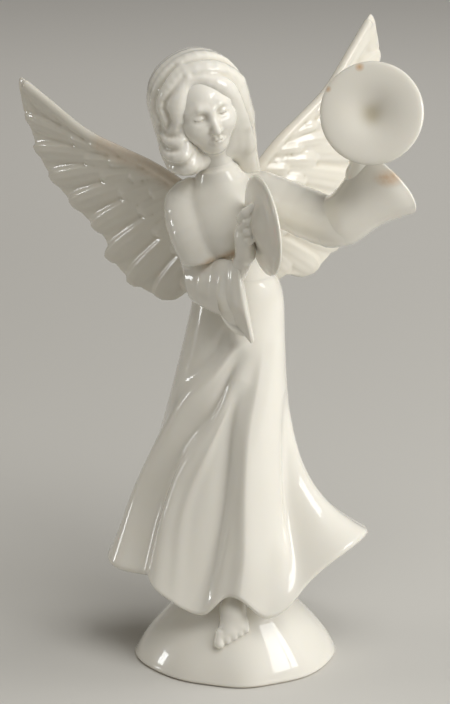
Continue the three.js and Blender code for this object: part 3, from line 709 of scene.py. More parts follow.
def headForm(p):
    q = np.stack([np.abs(p[:, 0]), p[:, 1], p[:, 2]], 1)  # both halves alike
    eyeX, eyeZ = face["eyes"]
    noseY, noseZ = face["noseTip"]
    mouthZ = face["mouth"]
    out = press(oval(p, *face["skull"]), oval(p, *face["jaw"]), 4)
    out = press(out, oval(p, *face["chin"]), 3.5)
    out = press(out, ball(q, *face["cheek"]), 3.5)
    out = press(out, roll(q, *face["brow"]), 2.2)
    out = carve(out, oval(q, (eyeX, -10.8, eyeZ + 0.1), (2.0, 1.35, 1.2)), 1.8)
    out = press(out, rod(p, (0, -9.3, 1.2), (0, noseY + 0.7, noseZ + 0.7), 0.7, 0.85), 1.7)
    out = press(out, ball(p, (0, noseY + 0.4, noseZ), 0.95), 1.0)
    out = press(out, ball(q, (1.05, noseY + 1.6, noseZ - 0.25), 0.68), 0.8)
    out = press(out, oval(q, (eyeX, -8.3, eyeZ - 0.1), (1.75, 1.5, 1.3)), 0.7)
    lash = [(eyeX - 1.5, -9.2, eyeZ - 0.35), (eyeX, -9.75, eyeZ - 0.75), (eyeX + 1.5, -9.0, eyeZ - 0.4)]
    out = carve(out, roll(q, through(lash, 5), [0.12] * 5, 0.1), 0.3)
    upper = [(0, -10.0, mouthZ + 0.4), (0.6, -10.0, mouthZ + 0.5), (1.8, -9.3, mouthZ - 0.05)]
    lower = [(0, -9.9, mouthZ - 0.5), (0.9, -9.7, mouthZ - 0.45), (1.7, -9.3, mouthZ - 0.15)]
    out = press(out, roll(q, upper, [0.42, 0.42, 0.15]), 1.0)
    out = press(out, roll(q, lower, [0.5, 0.45, 0.15]), 1.0)
    part = [(0, -10.4, mouthZ), (0.9, -10.25, mouthZ + 0.05), (1.9, -9.5, mouthZ - 0.1)]
    return carve(out, roll(q, part, [0.1, 0.1, 0.08], 0.1), 0.35)


neckInHead = [unplaced(placed(np.array(end, float), torsoPlace), headPlace) for end in torso["neck"][:2]]


def headAndNeck(p):
    low, high = neckInHead
    return press(headForm(p), rod(p, mixed(low, high, 0.25), high, *torso["neck"][2:]), 2.5)


addForm("head_porcelain", headAndNeck, (-13, -17, -27), (13, 15, 15), 0.27, headPlace)


# Hair

hair = {
    "cap": ((0, 2.2, 2.4), (12.9, 12.3, 12.8)),
    "fall": ((0, 2.6, -6), (12.8, 11.6, 13.4)),
    "leftPanel": ([(9.2, -0.6, 3), (9.4, -1.0, -7), (8.9, -1.0, -14), (8.8, 0.2, -24)], [3.6, 3.8, 3.9, 3.8]),
    "bob": ((-7.4, -2.2, -9.6), (6.6, 7.4, 7.8)),  # turned under at the right cheek
    "waves": [  # rolled strands beside the face, then the turned-under curls at the right cheek
        [(-3.2, -9.4, 10.4), (-8.0, -8.0, 6.6), (-10.2, -6.4, 0.5), (-9.2, -7.2, -5)],
        [(-3.4, -5.0, 13.6), (-9.5, -4.2, 9), (-12.2, -3.4, 2.5), (-11.6, -4.8, -3)],
        [(-3.0, -9.4, 10.4), (4.5, -9.0, 8.6), (9.2, -6.4, 2), (10.0, -4.6, -6), (9.4, -3.6, -15)],
        [(-3.0, -5.0, 13.6), (5.5, -5.2, 11.8), (11.2, -2.4, 5), (12.4, -1.0, -4), (11.6, -0.6, -14)],
        [(-12.5, 2.0, -3.0), (-13.2, -3.0, -4.4), (-10.8, -7.6, -4.8), (-7.4, -9.4, -3.6)],
        [(-12.5, 2.0, -7.6), (-13.4, -3.0, -8.8), (-10.4, -8.0, -9.4), (-6.4, -9.6, -8.4)],
        [(-11.0, 2.0, -12.0), (-12.0, -3.0, -13.2), (-9.0, -7.4, -13.6), (-5.0, -8.2, -12.2)],
    ],
    "creases": [
        [(-12.6, -1.0, -1.6), (-13.0, -4.6, -3.0), (-11.0, -7.8, -2.6), (-9.0, -9.0, -1.2)],
        [(-13.6, -1.0, -5.4), (-13.2, -4.6, -6.9), (-10.8, -8.2, -6.9), (-7.6, -9.8, -5.4)],
        [(-13.2, -1.0, -9.8), (-12.6, -4.8, -11.3), (-9.6, -8.0, -11.4), (-6.0, -9.2, -9.8)],
        [(-4.6, -6.4, 12.4), (-8.6, -6.2, 9.2), (-11.4, -4.4, 5.2), (-11.4, -5.6, 1.0), (-12.2, -4.4, -1.4)],
        [(-4.8, -1.6, 14.6), (-9.6, -1.8, 11), (-12.8, -0.2, 5), (-12.6, -2.0, 0.4), (-13.0, -0.6, -3)],
        [(-1.6, -7.4, 12.4), (4.0, -7.6, 11), (8.6, -5.4, 6.6), (10.4, -4.0, 0), (10.6, -3.0, -8)],
        [(-1.6, -2.4, 14.6), (5.6, -2.6, 13), (10.8, -0.4, 7.4), (12.4, 0.4, 0), (12.2, 0.6, -9)],
    ],
    "crease": 0.45,
    "wave": 2.4,
    "waveProud": 0.75,
    "window": ((-0.6, -14.5, -5.2), (8.9, 10.6, 15.0)),
    "brow": ((-2.4, -12.6, 6.2), (4.0, 6.2, 5.6)),  # the hair parts here, above the forehead
    "parting": -3.2,
    "locks": 9,  # on each side of the parting
    "rises": (-40, 80),  # degrees over the head where they leave it, from brow to crown
    "falls": (50, 178),  # degrees round the head where they come down
    "ends": -15.5,
    "sway": {-1: 1.3, 1: 0.5},
    "lock": 2.3,
    "proud": 0.42,
}


def hairMass(p):
    out = press(oval(p, *hair["cap"]), oval(p, *hair["fall"]), 3)
    path, radii = hair["leftPanel"]
    out = press(out, roll(p, path, radii, 1.5), 3)
    out = press(out, oval(p, *hair["bob"]), 2.5)
    opening = press(oval(p, *hair["window"]), oval(p, *hair["brow"]), 3)
    return carve(out, opening, 4.0)


def onMass(points, depth):  # moves points to a depth below the surface of the mass
    for _ in range(6):
        value = hairMass(points) + depth
        slope = slopeOf(hairMass, points, 0.1)
        points = points - slope * (value / np.maximum((slope**2).sum(1), 0.3))[:, None]
    return points


def lockPath(side, i):
    middle, radii = np.array(hair["cap"][0]), np.array(hair["cap"][1])
    share = i / (hair["locks"] - 1)
    rise = math.radians(mixed(*hair["rises"], share))
    start = unit((hair["parting"] / 12 * math.cos(rise), math.sin(rise), math.cos(rise)))
    around = math.radians(mixed(*hair["falls"], share**0.85))
    low = unit((side * math.sin(around), -math.cos(around), -0.1))
    points = []
    for u in np.linspace(0, 1, 7):
        lift = math.sin(math.pi * u)
        d = unit(mixed(start, low, u) + np.array([side * 0.3 * lift, -0.1 * lift * (1 - share), 0.2 * lift]))
        points.append(middle + d * radii)
    end = points[-1]
    for step in (1, 2, 3, 4):
        z = mixed(end[2], hair["ends"] + 0.8 * math.sin(2.4 * i), step / 4)
        sway = hair["sway"][side] * math.sin(1.5 * step + 1.9 * i)
        tuck = 1 - 0.02 * step * step
        points.append(np.array([end[0] * tuck + 0.3 * sway * side, 2 + (end[1] - 2) * tuck + sway, z]))
    return onMass(through(points, 18), hair["lock"] - hair["proud"])


lockPaths = [lockPath(side, i) for side in (-1, 1) for i in range(hair["locks"])]
creasePaths = [onMass(through(line, 10), -0.3) for line in hair["creases"]]
wavePaths = [onMass(through(line, 12), hair["wave"] - hair["waveProud"]) for line in hair["waves"]]


def swelling(path, at, sizes):  # how a strand swells and thins along its path
    return np.interp(np.linspace(0, 1, len(path)), at, sizes)


def hairForm(p):
    out = hairMass(p)
    shell = np.abs(out) < 3
    near = p[shell]
    strands = np.full(len(near), 9.0)
    for i, path in enumerate(lockPaths):
        radii = swelling(path, [0, 0.15, 0.6, 0.9, 1], [0.8, 1, 1.1, 1, 0.7]) * hair["lock"]
        strands = press(strands, roll(near, path, radii * (1 + 0.12 * math.sin(3.1 * i)), 0.2), 0.7)
    for path in wavePaths:
        radii = swelling(path, [0, 0.3, 0.8, 1], [0.8, 1, 1.05, 0.8]) * hair["wave"]
        strands = press(strands, roll(near, path, radii, 0.3), 0.5)
    shaped = press(out[shell], strands, 0.8)
    for path in creasePaths:
        thin = hair["crease"] * np.sin(np.pi * np.linspace(0.06, 0.94, len(path)))
        shaped = carve(shaped, roll(near, path, thin, 0.2), 1.5)
    out[shell] = shaped
    return out


addForm("hair_porcelain", hairForm, (-17, -16, -28), (17, 18, 19), 0.34, headPlace)


# Sleeves

sleeves = {
    "right": {
        "pairs": [[(-13, -4.6, 7), (-12.6, -4.6, -4.4)], [(-8.5, -7.8, 7.8), (-9.5, -8.4, -6)],
                  [(-3.4, -12.2, 8.8), (-5.4, -12.6, -7.8)], [(-0.4, -15.6, 8.8), (-1.8, -15.2, -11)],
                  [(0.9, -17, 8.6), (1.1, -16, -15.7)]],
        "across": [(-0.4, -0.92, 0), (0, -1, 0)],  # at the elbow and at the mouth
        "depths": (4.0, 4.5, 4.6, 4.4, 4.0),
        # place along the sleeve, width and height of each hanging gather
        "gathers": [(0.22, 0.06, 0.3), (0.36, 0.06, -0.4), (0.5, 0.06, 0.4), (0.64, 0.07, -0.45),
                    (0.97, 0.1, 0.3)],
        "pointed": 0.8,
        "bowl": 7,
    },
    "left": {
        "pairs": [[(27, -6, 19.2), (27.6, -6, 5.3)], [(30, -7, 20.4), (34, -7.5, 5.4)],
                  [(33.9, -8, 24), (42, -9, 9.6)], [(36.8, -8.8, 28.4), (48.4, -10.4, 11.4)],
                  [(38.2, -9.4, 30.8), (51.5, -11, 12.1)]],
        "across": [(-0.48, -0.86, -0.08), (0.45, -0.75, 0.48)],
        "depths": (6.6, 7.2, 7.2, 6.8, 6.4),
        "gathers": [(0.12, 0.06, -0.4), (0.3, 0.07, 0.3), (0.62, 0.12, -0.35)],
        "pointed": 0.0,
        "bowl": 5,
    },
    "rim": 2.2,
    "stain": 0.6,
    "stainAt": (46, -14, 24),
    "stainReach": (5.5, 7, 3.2),
}


def makeSleeve(pairs, across, depths, gathers, pointed, bowl):
    count = 60
    tops, bottoms = [through(line, count) for line in zip(*pairs)]
    deep = throughValues(depths, count)
    angles = np.linspace(0, 2 * np.pi, 120, endpoint=False)
    up = np.cos(angles)

    def ring(i, inset=0.0, ahead=0.0):
        middle, half = (tops[i] + bottoms[i]) / 2, (tops[i] - bottoms[i]) / 2
        length = np.linalg.norm(half)
        s = i / (count - 1)
        side = unit(mixed(np.array(across[0]), np.array(across[1]), s))
        narrow = 1 - pointed * s * ease(-up, 0.1, 1.0) * 0.75  # the lower end draws to a point
        fold = np.zeros_like(angles)
        for at, width, size in gathers:  # hanging gathers, wider apart towards the lower edge
            fold += size * np.exp(-(((s - at - 0.06 * up) / width) ** 2)) * ease(up, -0.95, 0.1)
        d = (deep[i] * narrow - inset + fold) * np.sin(angles)
        forward = unit(np.cross(half, side))
        return middle + np.outer((length - inset) * up, half / length) + np.outer(d, side) + forward * ahead

    rim = sleeves["rim"]
    rings = [ring(i) for i in range(count)]
    for a in np.radians(np.linspace(15, 165, 9)):  # soft lip
        rings.append(ring(count - 1, rim / 2 * (1 - math.cos(a)), rim / 2 * math.sin(a)))
    lip = ring(count - 1, rim)
    middle = lip.mean(0)
    inward = unit(np.cross(across[1], tops[-1] - bottoms[-1])) * bowl
    for a in np.radians(np.linspace(0, 84, 12)):  # the mouth is a bowl, filled with slip below
        rings.append(middle + (lip - middle) * math.cos(a) + inward * math.sin(a))
    points, faces = tube(np.array(rings))
    return placed(points, torsoPlace), outward(points, faces)


def sleeveStain(points):
    away = (points - placed(np.array(sleeves["stainAt"]), torsoPlace)) / np.array(sleeves["stainReach"])
    return sleeves["stain"] * ease(np.linalg.norm(away, axis=1), 1, 0.1)


sleevePoints, sleeveFaces = makeSleeve(**sleeves["right"])
addPiece("right_sleeve_porcelain", sleevePoints, sleeveFaces, ivoryGlaze)
sleevePoints, sleeveFaces = makeSleeve(**sleeves["left"])
addPiece("left_sleeve_porcelain", sleevePoints, sleeveFaces, ivoryGlaze, sleeveStain(sleevePoints))


# Cymbals, turned from one profile

cymbal = {
    "radius": 13.9,
    "thickness": 1.7,
    "cupRadius": 6.2,
    "cupDepth": 2.6,
    "poolAndShade": (0.8, 2.9),  # strength and reach of the thick glaze and painted shade in the cup
    "pooled": 0.12,  # over the whole plate
    "right": ((11.1, -22, 18.6), (0.948, 0.315, -0.07)),  # middle and striking direction
    "left": ((44, -22, 44.2), (-0.064, -0.94, 0.326)),
    "spots": [(-1.4, 12.7, 1.5, 0.9), (-10.7, 8.2, 1.2, 1)],  # across, up, size and strength on the left rim
}


def newGeometryTree(name, inputs):
    ends = ("Geometry", "Geometry")
    return newTree(name, "GeometryNodeTree", [(*ends, None), *inputs, ("Glaze", "Material", None)], [ends])


def glazed(tree, given, out, geometry):  # how each of these trees ends
    add = toolsFor(tree)[0]
    real = add("GeometryNodeRealizeInstances", {"Geometry": geometry})
    both = add("GeometryNodeJoinGeometry")
    tree.links.new(real.outputs[0], both.inputs[0])
    tree.links.new(given["Geometry"], both.inputs[0])
    done = add("GeometryNodeSetMaterial", {"Geometry": both.outputs[0], "Material": given["Glaze"]})
    tree.links.new(done.outputs[0], out[0])
    return tree


def addTree(holder, tree, values):  # lengths are given in metres
    modifier = holder.modifiers.new(tree.name, "NODES")
    modifier.node_group = tree
    for item in tree.interface.items_tree:
        if item.item_type == "SOCKET" and item.in_out == "INPUT" and item.name in values:
            modifier[item.identifier] = values[item.name]


def makeCymbalTree():
    tree, given, out = newGeometryTree(
        "cymbalProfile",
        [("Radius", "Float", 0.0139), ("Thickness", "Float", 0.0017), ("Cup Radius", "Float", 0.0062),
         ("Cup Depth", "Float", 0.003), ("Around", "Int", 97), ("Across", "Int", 81)],
    )
    add, calc, _ = toolsFor(tree)
    grid = add("GeometryNodeMeshGrid", {"Size X": 1.0, "Size Y": 1.0, "Vertices X": given["Around"],
                                        "Vertices Y": given["Across"]})
    spot = add("ShaderNodeSeparateXYZ", {0: add("GeometryNodeInputPosition").outputs[0]})
    turn = calc("MULTIPLY", spot.outputs["X"], 2 * math.pi)
    side = spot.outputs["Y"]  # below 0 is the back, above 0 the striking face
    inward = calc("MULTIPLY", calc("ABSOLUTE", side), 2.0)
    share = calc("SUBTRACT", 1.0, calc("POWER", inward, 2.0))
    radius = calc("MULTIPLY", share, given["Radius"])
    edge = calc("SQRT", calc("SUBTRACT", 1.0, calc("POWER", share, 14.0)))
    half = calc("MULTIPLY", given["Thickness"], 0.5)
    plate = calc("MULTIPLY", calc("MULTIPLY", edge, calc("SIGN", side)), half)
    inCup = calc("POWER", calc("DIVIDE", radius, given["Cup Radius"]), 2.0)
    cup = calc("MULTIPLY", calc("EXPONENT", calc("MULTIPLY", inCup, -1.0)), given["Cup Depth"])
    level = calc("SUBTRACT", calc("SUBTRACT", plate, cup), half)
    place = add("ShaderNodeCombineXYZ", {0: calc("MULTIPLY", radius, calc("COSINE", turn)),
                                         1: calc("MULTIPLY", radius, calc("SINE", turn)), 2: level})
    shaped = add("GeometryNodeSetPosition", {"Geometry": grid.outputs["Mesh"], "Position": place.outputs[0]})
    closed = add("GeometryNodeMergeByDistance", {"Geometry": shaped.outputs[0], "Distance": 0.00002})
    return glazed(tree, given, out, closed.outputs[0])


def asMesh(holder):  # the modifiers' result as points in millimetres and faces
    scene.collection.objects.link(holder)
    evaluated = holder.evaluated_get(bpy.context.evaluated_depsgraph_get())
    mesh = bpy.data.meshes.new_from_object(evaluated)
    points = np.zeros(len(mesh.vertices) * 3)
    mesh.vertices.foreach_get("co", points)
    faces = [list(p.vertices) for p in mesh.polygons]
    holder.modifiers.clear()
    bpy.data.objects.remove(holder)
    bpy.data.meshes.remove(mesh)
    return points.reshape(-1, 3) * 1000, faces


cymbalTree = makeCymbalTree()


def makeCymbal(side):
    holder = bpy.data.objects.new("cymbalHolder", bpy.data.meshes.new("cymbalHolder"))
    sizes = {"Radius": "radius", "Thickness": "thickness", "Cup Radius": "cupRadius", "Cup Depth": "cupDepth"}
    values = {label: cymbal[key] / 1000 for label, key in sizes.items()}
    addTree(holder, cymbalTree, {**values, "Glaze": ivoryGlaze})
    points, faces = asMesh(holder)
    faces = outward(points, faces)
    middle, strike = cymbal[side]
    strike = unit(strike)
    first = unit(np.cross((0, 0, 1), strike))
    frameOf = np.stack([first, np.cross(strike, first), strike], 1)
    # the cup is darker: thick glaze, and painted shade in its hollow
    strength, reach = cymbal["poolAndShade"]
    inCup = np.exp(-((np.hypot(points[:, 0], points[:, 1]) / reach) ** 2))
    pooled = strength * inCup + cymbal["pooled"]
    return placed(placed(points, (frameOf, np.array(middle))), torsoPlace), faces, pooled


def rimSpots():  # the left rim's stains, as places just above its face
    middle, strike = [np.array(v, float) for v in cymbal["left"]]
    rimUp = unit(np.cross(np.cross(strike, (0, 0, 1)), strike))
    rimSide = unit(np.cross(rimUp, strike))
    spots = []
    for across, up, size, strength in cymbal["spots"]:
        at = middle + across * rimSide + up * rimUp + 0.2 * unit(strike)
        spots.append((placed(at, torsoPlace).tolist(), size, strength))
    return spots


# deeper crease colour, partly painted shade in the cup; the rim spots are real stains
cymbalGlaze = makeGlaze("cymbalGlaze", 0.9, spots=rimSpots())
for side, material in (("right", ivoryGlaze), ("left", cymbalGlaze)):
    points, faces, pooled = makeCymbal(side)
    addPiece(side + "_cymbal_porcelain", points, faces, material, pooled=pooled)


# Hands, in the torso's frame

hands = {
    "right": {
        "forearm": [(-4, -10.8, 1.5), (0.2, -14.8, 4.2), (4.0, -18.4, 10.5)],
        "forearmRadii": [2.4, 2.5, 2.5, 2.5, 2.4, 2.4],
        "palm": ((4.4, -19.0, 14.2), (2.7, 2.9, 5.4)),
        "palmFillet": 2.5,
        "thumb": [(5.4, -16.6, 14.5), (7.2, -16.4, 18), (9.2, -17.4, 20.8)],
        "thumbRadii": [1.8, 1.6, 1.3],
        "tapers": [1.1, 1.02, 0.85],  # of a finger, at the knuckle, the bend and the tip
    },
    "left": {
        "forearm": [(35.4, -8.6, 18), (37.6, -9.8, 25.5), (40.6, -13, 33.5), (42.5, -14.6, 38)],
        "forearmRadii": [3.3, 3.0, 2.8, 2.6, 2.5, 2.5, 2.5],
        "palm": ((43.4, -14.2, 40.2), (4.6, 2.3, 4.2)),
        "palmFillet": 2.2,
        "thumb": [(40.2, -14.0, 38.4), (39.0, -15.0, 40.6), (39.6, -16.2, 42.4)],
        "thumbRadii": [1.7, 1.5, 1.25],
        "tapers": [1.1, 1.0, 0.9],
    },
    "finger": 1.35,
}


def rightFinger(j):  # laid over the edge of the chest cymbal
    knuckle = np.array([4.8 - 0.15 * j, -20.0, 21.0 - 2.55 * j])
    tip = knuckle + (5.9 - 0.5 * abs(j - 1)) * unit((0.72, -0.3, 0.55))
    return [knuckle, mixed(knuckle, tip, 0.5) + np.array([-0.5, -0.5, 0.2]), tip]


def leftFinger(j):  # curled behind the raised cymbal
    knuckle = np.array([40.6 + 2.35 * j, -13.9, 43.4 - 0.3 * abs(j - 1.2)])
    return [knuckle, knuckle + np.array([0.1, -1.2, 1.6]), knuckle + np.array([0.2, -2.4, 1.2])]


def pastCymbal(p, side):  # above 0 in front of the middle of the cymbal's plate
    middle, strike = cymbal[side]
    away = p - np.array(middle)
    level = away @ unit(strike)
    flat = (away**2).sum(1) - level**2
    return level + cymbal["thickness"] / 2 + cymbal["cupDepth"] * np.exp(-flat / cymbal["cupRadius"] ** 2)


def handOf(side, fingerOf):
    hand = hands[side]
    forearm = through(hand["forearm"], len(hand["forearmRadii"]))
    fingerRadii = np.array(hand["tapers"]) * hands["finger"]

    def form(p):
        out = roll(p, forearm, hand["forearmRadii"], 0.8)
        out = press(out, oval(p, *hand["palm"]), hand["palmFillet"])
        for j in range(4):
            out = press(out, roll(p, fingerOf(j), fingerRadii), 0.55)
        out = press(out, roll(p, hand["thumb"], hand["thumbRadii"]), 1.0)
        return np.maximum(out, pastCymbal(p, side))

    return form


addForm("right_hand_porcelain", handOf("right", rightFinger), (-11, -26, -2), (14, -8, 29), 0.24, torsoPlace)
addForm("left_hand_porcelain", handOf("left", leftFinger), (31, -23, 13), (54, -4, 51), 0.26, torsoPlace)


# Foot on the mound

foot = {
    "ankle": (-1.2, -15.5, 28),
    "toeHeight": 13.6,
    "faces": 268,  # degrees round the mound
    "halfWidth": 5.3,
    "line": (0.86, 0.18, 0.42),  # along the toes
    "bones": ((-0.5, 2.3), (0, 2.4), (0.5, 2.1)),  # place across and radius
    "toes": (-0.86, -0.38, 0.02, 0.4, 0.76),
    "toe": 1.35,
}


def moundY(height):
    angle = np.array([math.radians(foot["faces"])])
    return float(-base["forward"] - moundRadius(angle, np.array([height]))[0])


def footForm(p):
    ankle = np.array(foot["ankle"])
    sole = np.array([-1.0, moundY(foot["toeHeight"]) - 0.3, foot["toeHeight"]])
    line = unit(foot["line"]) * foot["halfWidth"]
    down = unit(sole - ankle)
    up = -np.cross((1, 0, 0), down)
    out = rod(p, ankle, mixed(ankle, sole, 0.5), 3.4, 3.5)
    for across, radius in foot["bones"]:
        to = sole - down * 2.0 + line * across - up * 0.4
        out = press(out, rod(p, mixed(ankle, sole, 0.45), to, 3.0, radius), 1.5)
    for i, across in enumerate(foot["toes"]):
        radius = foot["toe"] * (1.2 if i == 0 else 1 - 0.05 * i)
        root = sole - down * 3.2 + line * across * 0.92 + up * 0.3
        tip = sole - down * (0.5 if i == 0 else 0.3) + line * across + up * 0.15
        out = press(out, rod(p, root, tip, radius * 0.92, radius), 0.55)
    return out


addForm("left_foot_porcelain", footForm, (-8, -28, 6), (8, -9, 33), 0.24, ground)


# Wings: overlapping feathers on a plate, softened together as under a thick glaze

wings = {
    "span": 54,
    "rise": 40.4,
    "drop": 27.6,
    "rows": [  # feathers, start and end from arm to trailing edge, stretch, width, thickness, roll, bend
        (10, (0.08, 1.0), (0, 58), 10.0, 2.5, 0.16, 0.10),
        (8, (0.03, 0.5), (3, 50), 7.4, 3.3, 0.15, 0.12),
        (7, (-0.02, 0.27), (3, 50), 6.0, 3.9, 0.14, 0.12),
    ],
    "steps": 60,  # along the arm and the trailing edge, from which each row takes its stretch
    "quillDrop": 3.0,  # the outer quills start below the leading edge
    "voxel": (0.36, 0.6),
    "softening": (0.5, 6),
    "plate": 0.8,
    "edge": 1.5,
    "camber": 2.4,
    "stain": {-1: 0.25, 1: 0.03},  # brown along the inner side of the leading edge, much more on the right wing than the left
    # darkens both wings all over, as painted shade
    "pooled": 0.3,
    "sweep": {-1: -30, 1: 34},
    "mount": {-1: (-6.5, 8.5, 19), 1: (5.1, 8.5, 19)},
    "arm": [(-0.06, -0.46), (-0.07, -0.1), (0.06, 0.12), (0.24, 0.31), (0.42, 0.44), (0.62, 0.58)],
    "trail": [(0.16, -0.92), (0.33, -1), (0.5, -0.85), (0.62, -0.6), (0.66, -0.3), (0.78, -0.04), (0.9, 0.16),
              (0.99, 0.36), (1.02, 0.58), (1.03, 0.8), (1, 1)],
    "lead": [(-0.05, -0.3), (-0.06, -0.08), (0.06, 0.12), (0.24, 0.31), (0.42, 0.44), (0.62, 0.58),
             (0.82, 0.79), (0.98, 0.955)],
    # middle, direction, half length, half width and half thickness of the rounded end
    "tip": ((52.7, 0, 34.4), (0.2, 0, 0.98), 6.5, 2.3, 0.9),
}


def wingLine(shares, count):
    flat = [(x * wings["span"], 0, z * (wings["rise"] if z > 0 else wings["drop"])) for x, z in shares]
    return through(flat, count)


def pathObject(name, points):
    curve = bpy.data.curves.new(name, "CURVE")
    curve.dimensions = "3D"
    spline = curve.splines.new("POLY")
    spline.points.add(len(points) - 1)
    for spot, p in zip(spline.points, points / 1000):
        spot.co = (*p, 1)
    path = bpy.data.objects.new(name, curve)
    scene.collection.objects.link(path)
    return path


def makeFeatherTree():
    tree, given, out = newGeometryTree(
        "featherRow",
        [("Root Path", "Object", None), ("Tip Path", "Object", None), ("Count", "Int", 12),
         ("Width", "Float", 0.008), ("Thickness", "Float", 0.0016), ("Roll", "Float", 0.2),
         ("Bend", "Float", 0.15), ("Barbs", "Int", 10), ("Barb Depth", "Float", 0.06),
         ("Narrowing", "Float", 0.35)],
    )
    add, calc, _ = toolsFor(tree)
    bow = add("ShaderNodeCombineXYZ", {0: 0.5, 1: given["Bend"]})
    spine = add("GeometryNodeCurveQuadraticBezier", {"Resolution": 26, "Start": (0, 0, 0),
                                                     "Middle": bow.outputs[0], "End": (1, 0, 0)})
    along = add("GeometryNodeSplineParameter").outputs["Factor"]
    tipRound = calc("SQRT", calc("MAXIMUM", calc("SUBTRACT", 1.0, calc("POWER", along, 9.0)), 0.0))
    widen = calc("MULTIPLY_ADD", along, 0.45, 0.55)
    wide = calc("MAXIMUM", calc("MULTIPLY", tipRound, widen), 0.02)
    ring = add("GeometryNodeCurvePrimitiveCircle", {"Resolution": 48, "Radius": 0.5})
    around = add("GeometryNodeSplineParameter").outputs["Factor"]
    barb = calc("COSINE", calc("MULTIPLY", around, calc("MULTIPLY", given["Barbs"], 2 * math.pi)))
    grown = calc("MULTIPLY_ADD", barb, given["Barb Depth"], 1.0)
    spot = add("GeometryNodeInputPosition").outputs[0]
    rim = add("ShaderNodeVectorMath", {0: spot, "Scale": grown}, operation="SCALE")
    across = add("GeometryNodeSetPosition", {"Geometry": ring.outputs["Curve"], "Position": rim.outputs[0]})
    blade = add("GeometryNodeCurveToMesh", {"Curve": spine.outputs[0], "Profile Curve": across.outputs[0],
                                            "Scale": wide, "Fill Caps": True})
    row = add("GeometryNodeMeshLine", {"Count": given["Count"]})
    number = add("GeometryNodeInputIndex").outputs[0]
    share = calc("DIVIDE", number, calc("SUBTRACT", given["Count"], 1.0))
    ends = []
    for label in ("Root Path", "Tip Path"):
        info = add("GeometryNodeObjectInfo", {"Object": given[label]})
        links = {"Curves": info.outputs["Geometry"], "Factor": share}
        ends.append(add("GeometryNodeSampleCurve", links, use_all_curves=True).outputs["Position"])
    reach = add("ShaderNodeVectorMath", {0: ends[1], 1: ends[0]}, operation="SUBTRACT").outputs[0]
    length = add("ShaderNodeVectorMath", {0: reach}, operation="LENGTH").outputs["Value"]
    spots = add("GeometryNodeSetPosition", {"Geometry": row.outputs[0], "Position": ends[0]})
    aim = add("FunctionNodeAxesToRotation", {0: reach, 1: (0, -1, 0)}, primary_axis="X", secondary_axis="Z")
    tilt = add("ShaderNodeCombineXYZ", {0: given["Roll"]})
    tilted = add("FunctionNodeEulerToRotation", {0: tilt.outputs[0]})
    lay = add("FunctionNodeRotateRotation", {0: aim.outputs[0], 1: tilted.outputs[0]}, rotation_space="LOCAL")
    thinned = calc("MULTIPLY", calc("POWER", share, 3.0), given["Narrowing"])
    width = calc("MULTIPLY", calc("SUBTRACT", 1.0, thinned), given["Width"])
    size = add("ShaderNodeCombineXYZ", {0: length, 1: width, 2: given["Thickness"]})
    feathers = add("GeometryNodeInstanceOnPoints", {"Points": spots.outputs[0], "Instance": blade.outputs[0],
                                                    "Rotation": lay.outputs[0], "Scale": size.outputs[0]})
    return glazed(tree, given, out, feathers.outputs[0])


def makeEdgeTree():
    tree, given, out = newGeometryTree("rolledEdge", [("Path", "Object", None), ("Radius", "Float", 0.0016)])
    add, calc, _ = toolsFor(tree)
    info = add("GeometryNodeObjectInfo", {"Object": given["Path"]})
    along = add("GeometryNodeSplineParameter").outputs["Factor"]
    taper = calc("MULTIPLY", calc("MULTIPLY_ADD", along, -0.05, 1.05), given["Radius"])
    across = add("GeometryNodeCurvePrimitiveCircle", {"Resolution": 16, "Radius": 1.0})
    coil = add("GeometryNodeCurveToMesh", {"Curve": info.outputs["Geometry"], "Scale": taper,
                                           "Profile Curve": across.outputs["Curve"], "Fill Caps": True})
    return glazed(tree, given, out, coil.outputs[0])


featherTree, edgeTree = makeFeatherTree(), makeEdgeTree()


def wingPlate():  # a thin closed plate under the feathers
    arm, trail = wingLine(wings["arm"], 40), wingLine(wings["trail"], 40)
    thick = np.array([0, wings["plate"], 0])
    rings = []
    for a, b, along in zip(arm, trail, np.linspace(0, 1, 40)):
        end = mixed(0.955, 1.0, ease(along, 0.8, 0.95))  # the last feathers run together at the tip
        front = [mixed(a, b, s) - thick / 2 for s in np.linspace(0.02, end, 16)]
        rings.append(front + [p + thick for p in front[::-1]])
    points, faces = tube(np.array(rings))
    return points, outward(points, faces)


def wingTip():  # the rounded end of the wing
    middle, along, length, width, thick = wings["tip"]
    along = unit(along)
    across = np.cross((0, 1, 0), along)
    angles = np.linspace(0, 2 * np.pi, 24, endpoint=False)
    section = np.outer(np.cos(angles) * width, across) + np.outer(np.sin(angles) * thick, (0, 1, 0))
    rings = []
    for a in np.linspace(0.1, np.pi - 0.1, 16):
        rings.append(np.array(middle) - along * length * math.cos(a) + section * math.sin(a))
    points, faces = tube(np.array(rings))
    return points, outward(points, faces)


